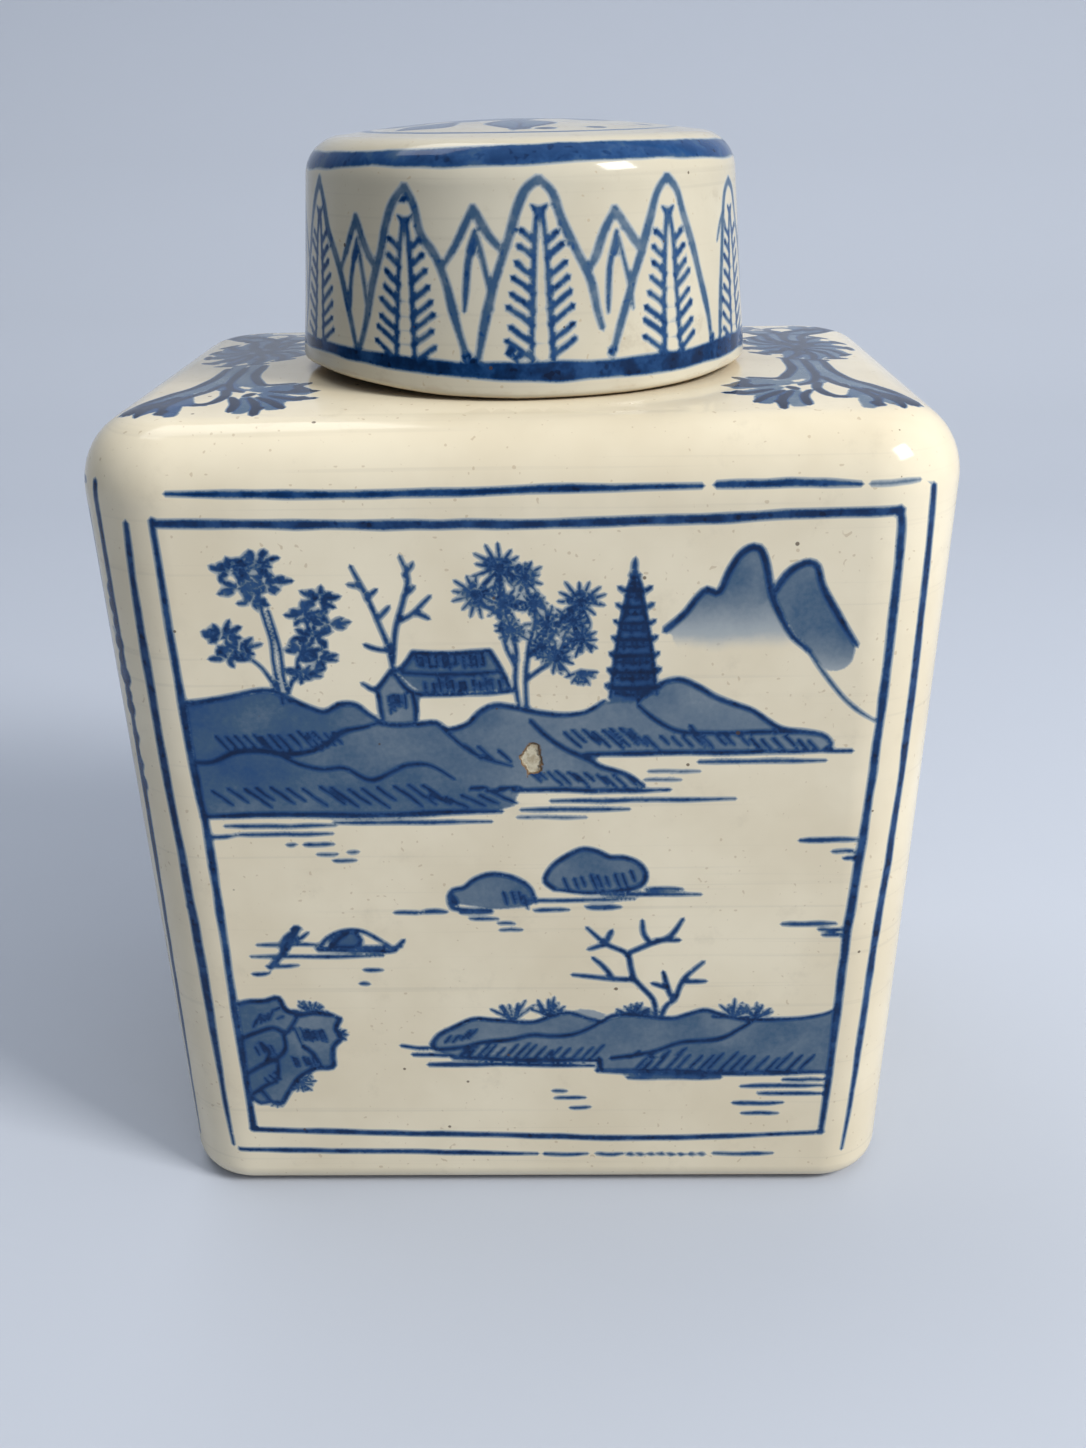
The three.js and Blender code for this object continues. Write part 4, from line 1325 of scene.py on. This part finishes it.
cap_side = Painting()
cap_side.line(
    (-96, 3.3), (-60, 3.5), (-40, 3.5), (-28, 3.55), (-14, 3.5), (-3, 3.45), (4, 3.4), width=1.75,
    tone=1.04, ends=(1.0, 0.8))
cap_side.line(
    (-9, 3.4), (0, 3.3), (10, 3.2), (24, 3.05), (36, 3.1), (60, 3.3), (96, 3.3), width=2.35, tone=1.04,
    ends=(0.7, 1.0))
cap_side.line(
    (-96, 27.6), (-60, 27.4), (-42, 26.9), (-32, 27), (-24, 27.3), (-14, 27.7), (-4, 28), width=2.2,
    tone=0.84, ends=(1.0, 0.8))
cap_side.line(
    (-18, 27.9), (-8, 27.9), (4, 28.3), (16, 28.3), (28, 28), (38, 27.6), (60, 27.4), (96, 27.6),
    width=2.6, tone=0.84, ends=(0.6, 1.0))
cap_side.line((-22, 27.2), (-8, 27.2), (8, 27.6), (24, 27.9), width=1.6, tone=0.9)


def tall_leaf(middle, left, right, top=0.0):
    """A pointed leaf with a pale rib, and barbs that rise outward from both sides of it."""
    for outline in (left, right):
        cap_side.line(*outline, width=1.05, tone=0.66, ends=(0.9, 0.7))
    for (x0, y0), (x1, y1) in zip(left[1:], left[2:]):
        cap_side.line((x0, y0), ((x0 * 2 + x1) / 3, (y0 * 2 + y1) / 3), width=0.5, tone=0.85)
    for side in (-1, 1):
        rib = ((0.2, 21.7 + top), (0.55, 19.5 + top), (0.95, 14), (1.15, 9), (1.3, 4.8))
        cap_side.line(*[(middle + side * x, y) for x, y in rib], width=0.6, tone=0.84, ends=(0.9, 1.0))
        cap_side.line((middle + side * 0.2, 21.4 + top), (middle + side * 0.9, 22.1 + top), width=0.6)
        for k in range(8):
            t = 18.0 + top * 0.8 - 1.88 * k + dice.uniform(-0.2, 0.2)
            reach = (1.5 + 0.3 * k * (1 - 0.04 * k)) * dice.uniform(0.88, 1.1)
            start = middle + side * (0.7 + 0.06 * k)
            tip = (start + side * reach, t + 0.3 + reach * 0.62)
            cap_side.line((start, t), tip, width=0.64, tone=0.86, ends=(1.0, 0.9))
            cap_side.line((tip[0] - side * 0.25, tip[1] - 0.15), tip, width=0.75, ends=(0.8, 0.9))


def small_leaf(middle, tip, left, right):
    """A leaf half hidden by its neighbours: a roof of two strokes over a narrow spear."""
    cap_side.line((middle, tip), *left, width=0.95, tone=0.66, ends=(0.9, 0.6))
    cap_side.line((middle, tip), *right, width=0.95, tone=0.62, ends=(0.9, 0.5))
    cap_side.line(
        (middle + 0.2, tip - 2.6), (middle - 0.8, tip - 6.5), (middle - 1.2, tip - 11.6), width=0.75,
        tone=0.75)
    cap_side.line((middle + 0.2, tip - 3.4), (middle - 0.4, tip - 5.2), width=1.2, tone=0.85)
    cap_side.line(
        (middle + 0.5, tip - 3.4), (middle + 1.6, tip - 8), (middle + 2.2, tip - 11.4), width=0.6,
        tone=0.66)


tall_leaf(
    -31, [(-31, 24.6), (-32.8, 22.2), (-34.2, 19), (-35.2, 15), (-36.4, 10), (-37.6, 5)],
    [(-31, 24.6), (-29.6, 22), (-28.4, 19), (-26.6, 16.4), (-25, 13.6), (-23.2, 9), (-22, 4.8)], -0.8)
tall_leaf(
    -14, [(-14, 24.2), (-15.8, 22.2), (-17, 19.4), (-17.6, 17), (-19, 13), (-20.2, 8), (-21.2, 4.8)],
    [(-14, 24.2), (-12.6, 22), (-11.8, 19), (-10, 16.8), (-8.5, 13.6), (-7.5, 10), (-6, 4.8)], -1.2)
tall_leaf(
    3, [(3, 25), (1.4, 23.8), (0.2, 21.4), (-0.9, 18), (-2.8, 12.6), (-3.8, 9), (-4.6, 4.8)],
    [(3, 25), (4.6, 23.4), (5.6, 20.6), (7.4, 17), (9, 13.6), (9.8, 10), (10.4, 8)])
tall_leaf(
    20.3, [(20.3, 24.7), (18.6, 23), (17.4, 20.2), (16, 16.8), (14.4, 12.4), (12.8, 8.4), (11.6, 4.8)],
    [(20.3, 24.7), (22, 23), (23, 20.2), (24.8, 15.8), (26.4, 11.2), (27.4, 8), (27.9, 4.6)], -0.8)
tall_leaf(
    35.4, [(35.4, 23.6), (33.6, 22.2), (32.4, 18.6), (31.4, 13), (30.6, 8), (30.2, 4.8)],
    [(35.4, 23.6), (37.2, 22.2), (38.4, 19), (40.4, 14.6), (42.4, 9), (43.6, 4.8)], -1.6)
small_leaf(-22, 20.6, [(-23.4, 17.6), (-24.8, 14.8)], [(-20.4, 17.6), (-18.4, 14.6)])
small_leaf(-5, 21.9, [(-6.6, 18.8), (-8.8, 15.4)], [(-3.2, 19), (-1.2, 16.8)])
small_leaf(12.4, 21.4, [(10.8, 18.6), (9.4, 15.6), (8.4, 14.6)], [(14.2, 19), (16, 16.4)])
cap_side.line((33.6, 17.8), (32.2, 19.4), (30.4, 16.6), width=0.6, tone=0.6)
for s, t in ((-6.2, 4.9), (-5.4, 4.4), (11.4, 5.2), (27.9, 4.8), (-1, 5.6), (-0.2, 4.9), (-14.2, 22.8)):
    cap_side.line((s, t), (s + 0.5, t + 0.2), width=0.85, ends=(1.0, 0.8))

# Round the back the leaves are alike and follow at one pitch. Those past the seam at the back go on
# from the other end of the unrolled wall.
LEAF_PITCH = 17.05
LAP = 185.35
SEAM_PLACE = 92
TALL_HALF = ((0, 24.6), (1.7, 22.4), (3, 19), (4.6, 14.6), (6.2, 9), (7.4, 4.8))
SMALL_HALF = ((1.6, 18), (3.4, 15))


def leaf_halves(first, half, k):
    """The middle of a leaf at the back, and the outlines of its left and right halves."""
    middle = first + LEAF_PITCH * k
    middle = middle if middle < SEAM_PLACE else middle - LAP
    return middle, [(middle - x, y) for x, y in half], [(middle + x, y) for x, y in half]


for k in range(1, 7):
    tall_leaf(*leaf_halves(35.4, TALL_HALF, k), -0.8)
for k in range(7):
    middle, left, right = leaf_halves(43.9, SMALL_HALF, k)
    small_leaf(middle, 21, left, right)

# The top of the lid: a fine ring, not quite closed, round a flower of eight petals with its leaves.

cap_top = Painting()
TOP_RING = 20.4
ring_points = [(TOP_RING * math.cos(a), TOP_RING * math.sin(a)) for a in np.linspace(0.4, 6.2, 30)]
cap_top.line(*ring_points, width=0.8, tone=0.9)
flower_heart = (-3, 3)
petals = []
for k in range(16):
    reach = 9.8 if k % 2 else 8
    petals.append(petal_point(flower_heart, reach, reach, k * math.pi / 8))
cap_top.wash(*petals, tone=0.62)
cap_top.line(*petals, petals[0], width=0.9, tone=1.1)
for k in range(8):
    angle = (k + 0.5) * math.pi / 4
    inner = petal_point(flower_heart, 2.4, 2.4, angle)
    outer = petal_point(flower_heart, 7, 7, angle)
    cap_top.line(inner, outer, width=0.9, tone=1.1)
cap_top.star(*flower_heart, 2.2, 9, width=0.7)

# Each leaf by its foot, its middle and its tip; then a few loose dots
TOP_LEAVES = (
    ((-10, 8), (-14, 10), (-18.4, 7)), ((-10, -1), (-15, -3), (-18.6, -2)),
    ((-8, -5), (-11, -10), (-15, -11.6)), ((4.6, 7), (8, 10), (12.4, 9.6)),
    ((4.8, 0), (9, -2), (12.6, -1.4)), ((-1, -5.6), (0.4, -11), (0.2, -17.6)),
    ((-2, 11.6), (-2.6, 15), (-1, 19.6)), ((-8, 10), (-11.6, 14.4), (-11, 17)))
for start, bend, tip in TOP_LEAVES:
    across = (-(tip[1] - start[1]) * 0.34, (tip[0] - start[0]) * 0.34)
    near = (bend[0] + across[0], bend[1] + across[1])
    away = (bend[0] - across[0], bend[1] - across[1])
    cap_top.wash(start, near, tip, away, tone=0.62)
    cap_top.line(start, near, tip, width=0.8, tone=1.1)
    cap_top.line(start, away, tip, width=0.8, tone=1.1)
    cap_top.line(start, bend, tip, width=0.6, tone=1.0)
for x, y in ((0, -17.4), (3.2, -17.2), (-1, 22.6), (15, 12), (15.6, -6.6), (9.4, -14.8)):
    cap_top.line((x, y), (x + 1.2, y + 0.5), width=1.6, tone=1.1, ends=(1.0, 0.7))


def rim_lift(s):
    """How far the rim stands off the shoulder at a place round the lid."""
    left = np.interp(np.abs(s), (0, 10, 20, 31, 45, 93), (0, 0.3, 1.1, 1.8, 1.4, 0.2))
    right = np.interp(np.abs(s), (0, 15, 22, 32, 45, 93), (0, 0.05, 0.25, 0.8, 0.8, 0.2))
    return np.where(s < 0, left, right)


def cap_place(s, t):
    """The outside of the cap at a place round it and a height, later a length over the edge."""
    turn = np.clip((t - SIDE_TOP) / LID_EDGE, 0, QUARTER)
    share = np.clip((t - RIM_ROUND) / (SIDE_TOP - RIM_ROUND), 0, 1)
    radius = np.where(
        t <= SIDE_TOP, LID_RIM + (LID_TOP - LID_RIM) * share, DISC + LID_EDGE * np.cos(turn))
    under = np.clip(RIM_ROUND - t, 0, RIM_ROUND)
    radius = radius - RIM_ROUND + np.sqrt(RIM_ROUND**2 - under**2)
    z = np.minimum(t, SIDE_TOP) + LID_EDGE * np.sin(turn)
    z = z + rim_lift(s) * np.clip(1 - t / LIFT_HEIGHT, 0, 1)
    angle = s / UNROLLED - QUARTER
    return np.stack([radius * np.cos(angle), radius * np.sin(angle), LID_BASE + z], -1)


# The cap's wall with its round upper edge is one strip. Its glaze is thin for THIN_HEIGHT above
# the rim.
LID_STEPS = 96
EDGE_NUDGE = 0.02
THIN_GLAZE = (0.52, 0.0)
THIN_HEIGHT = 2.2
lid = Skin()
lid_ends = (-LID_AROUND / 2, LID_AROUND / 2)
steps = np.linspace(*lid_ends, LID_STEPS, endpoint=False)
side_rows = np.linspace(RIM_ROUND, SIDE_TOP, 9)[1:]
edge_rows = SIDE_TOP + (EDGE_END - SIDE_TOP) * np.linspace(0, 1, 9)[1:-1]
cap_rows = np.r_[side_rows, edge_rows]
flat, cells, same = strip(steps, cap_rows, lid_ends, (RIM_ROUND, EDGE_END), cap_side.detail())
s, t = flat.T
places = cap_place(s, t)
turned = surface_normals(places, cap_place(s + NUDGE, t), cap_place(s, t + EDGE_NUDGE))
cap_values = merged([cap_side.read(flat)], len(flat))
cap_values["bare"] = np.interp(t, (RIM_ROUND, RIM_ROUND + THIN_HEIGHT), THIN_GLAZE)
cap_ids = lid.add(places, turned, cap_values)

# On the unfolded map the strip lies in two rows, its left half below its right half.
HALF_MAP = (0.92, 0.0108)
HALF_START = (0.04, 0.01)
HALF_HEIGHT = 0.36
halves = (s / LID_AROUND + 0.5) * 2
for corners in cells:
    row = int(halves[corners].mean() > 1)
    spread = [
        (HALF_START[0] + (halves[v] - row) * HALF_MAP[0],
         HALF_START[1] + row * HALF_HEIGHT + (t[v] - RIM_ROUND) * HALF_MAP[1]) for v in corners]
    lid.face([cap_ids[same.get(v, v)] for v in corners], spread)
rim_ids, edge_ids = cap_ids[:LID_STEPS], cap_ids[LID_STEPS:2 * LID_STEPS]

# The low dome of its top
top_row = np.vstack(lid.places)[edge_ids]
free = thinned(np.vstack([cap_top.detail()] + [circle(r, 0, 48)[:, :2] for r in (21, 17, 13, 9, 5, 2)]))
free = free[np.hypot(*free.T) < DISC - MARGIN]
flat, cells = triangles(top_row[:, :2], [list(range(LID_STEPS))], free)
dome = flat[LID_STEPS:]
height = LID_BASE + LID_HEIGHT + LID_DOME * (1 - (np.hypot(*dome.T) / DISC) ** 2)
slope = 2 * LID_DOME / DISC**2
turned = np.column_stack([dome * slope, np.ones(len(dome))])
turned /= np.linalg.norm(turned, axis=1)[:, None]
seen = cap_top.read(dome)
disc_ids = edge_ids + lid.add(np.column_stack([dome, height]), turned, merged([seen], len(dome)))

# The middle of the top on the unfolded map, and its scale there
TOP_MAP = np.array((0.14, 0.86))
TOP_SCALE = 0.0053
for corners in cells:
    lid.face([disc_ids[v] for v in corners], (TOP_MAP + flat[corners] * TOP_SCALE).tolist())

# Its rim, bare clay where it stood in the kiln, and its glazed inner side
LOWER_TURNS = (-30, -60, -90)
INNER_TURNS = (-90, -45, 0)
INNER_PROFILE = (
    (27.0, 9.0), (26.4, 17.0), (26.1, 22.4), (25.6, 24.2), (24.2, 25.4), (22.6, 25.8), (12.0, 25.8))
inner = [rim_ids]
rim_row = cap_place(steps, np.full(LID_STEPS, RIM_ROUND))
for degrees in LOWER_TURNS:
    angle = math.radians(degrees)
    radius = (LID_RIM - RIM_ROUND + RIM_ROUND * math.cos(angle)) / LID_RIM
    places = rim_row * (radius, radius, 1) + (0, 0, RIM_ROUND * math.sin(angle))
    inner.append(lid.add(places, bare=-degrees / 90))


def inner_ring(radius, z):
    """A ring of the cap's inner side, which starts at the back like the wall's columns."""
    angles = steps / UNROLLED - QUARTER
    return np.stack(
        [radius * np.cos(angles), radius * np.sin(angles), np.full(LID_STEPS, LID_BASE) + z], -1)


for angle in np.radians(INNER_TURNS):
    radius = LID_RIM - LID_WALL + RIM_ROUND - RIM_ROUND * math.cos(angle)
    z = RIM_ROUND * (1 + math.sin(angle)) + rim_lift(steps)
    inner.append(lid.add(inner_ring(radius, z), bare=0.7))
for radius, z in INNER_PROFILE:
    inner.append(lid.add(inner_ring(radius, z)))
inner = [ids[::-1] for ids in inner]
lid.rings(inner, (0.3, 0.74, 0.98, 0.98))

lid_piece = lid.piece("painted_lid", [lid_glaze])
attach(lid_piece, "root")
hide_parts("lid")

# The floor is a smooth pale sheet that curves up far behind the jar. It isn't part of the jar.
SHEET_PROFILE = ((-1.2, 0), (0.35, 0), (0.45, 0.01), (0.53, 0.05), (0.58, 0.12), (0.6, 0.2), (0.6, 1.4))
sheet = [(x, y, z) for x in (-1.6, 1.6) for y, z in SHEET_PROFILE]
runs = len(SHEET_PROFILE)
floor_mesh = bpy.data.meshes.new("floor")
floor_mesh.from_pydata(sheet, [], [(k, runs + k, runs + k + 1, k + 1) for k in range(runs - 1)])
floor_mesh.polygons.foreach_set("use_smooth", [True] * (runs - 1))
floor = bpy.data.objects.new("floor", floor_mesh)
floor_paper, shader, _, _, _ = new_material("floor_paper")
shader.inputs["Base Color"].default_value = (0.507, 0.542, 0.613, 1)
shader.inputs["Roughness"].default_value = 0.9
shader.inputs["Specular IOR Level"].default_value = DULL_GLOSS
floor.data.materials.append(floor_paper)
bpy.context.collection.objects.link(floor)

# The camera stands close above the front, a little to the right, as in the photograph. Its focal
# length is in pixels of the photograph's long side.
FOCAL = 1427.1
LONG_SIDE = 1448
PITCH = math.radians(23.84)
PAN = math.radians(1.215)
ROLL = math.radians(-1.0)
eye = Vector((0.00605, -0.20482, 0.14938))
forward = Vector((-math.sin(PAN) * math.cos(PITCH), math.cos(PAN) * math.cos(PITCH), -math.sin(PITCH)))
right = Vector((math.cos(PAN), math.sin(PAN), 0))
up = right.cross(forward)
tilted_right = right * math.cos(ROLL) + up * math.sin(ROLL)
tilted_up = up * math.cos(ROLL) - right * math.sin(ROLL)
camera_data = bpy.data.cameras.new("camera")
camera_data.sensor_width = 36
camera_data.lens = FOCAL / LONG_SIDE * camera_data.sensor_width
camera_data.clip_start = 0.01
camera = bpy.data.objects.new("camera", camera_data)
camera.matrix_world = Matrix((tilted_right, tilted_up, -forward)).transposed().to_4x4()
camera.location = eye
bpy.context.collection.objects.link(camera)
bpy.context.scene.camera = camera


# Two soft lamps, one high at the right and one overhead, in a room that is darker at the left.
ROOM_DARK = (0.08, 0.11, 0.16, 1)
ROOM_PALE = (1.18, 1.26, 1.36, 1)
ROOM_STRENGTH = 0.54


def soft_light(name, place, aim, size, power, colour):
    """A square or oblong lamp at a place, turned to its aim."""
    lamp = bpy.data.lights.new(name, "AREA")
    lamp.shape = "RECTANGLE"
    lamp.size, lamp.size_y = size
    lamp.energy = power
    lamp.color = colour
    light = bpy.data.objects.new(name, lamp)
    light.location = place
    light.rotation_euler = (Vector(aim) - Vector(place)).to_track_quat("-Z", "Y").to_euler()
    bpy.context.collection.objects.link(light)


soft_light("key", (0.64, -0.40, 0.66), (0, 0, 0.08), (0.26, 0.26), 7.6, (1, 0.98, 0.94))
soft_light("overhead", (-0.3, 0.26, 0.95), (0, 0, 0.1), (0.6, 0.3), 2.2, (1, 0.99, 0.97))

world = bpy.data.worlds.new("studio")
world.use_nodes = True
toward = Wire(world.node_tree).node("ShaderNodeTexCoord")
rightward = toward.node("ShaderNodeSeparateXYZ", Vector=toward)
upward = toward.node("ShaderNodeSeparateXYZ", output=2, Vector=toward)
room = (rightward + upward * 0.8).step(-0.5, 0.7).mix(ROOM_DARK, ROOM_PALE)
room.into(world.node_tree.nodes["Background"].inputs["Color"])
world.node_tree.nodes["Background"].inputs["Strength"].default_value = ROOM_STRENGTH
bpy.context.scene.world = world
bpy.context.scene.view_settings.view_transform = "Standard"
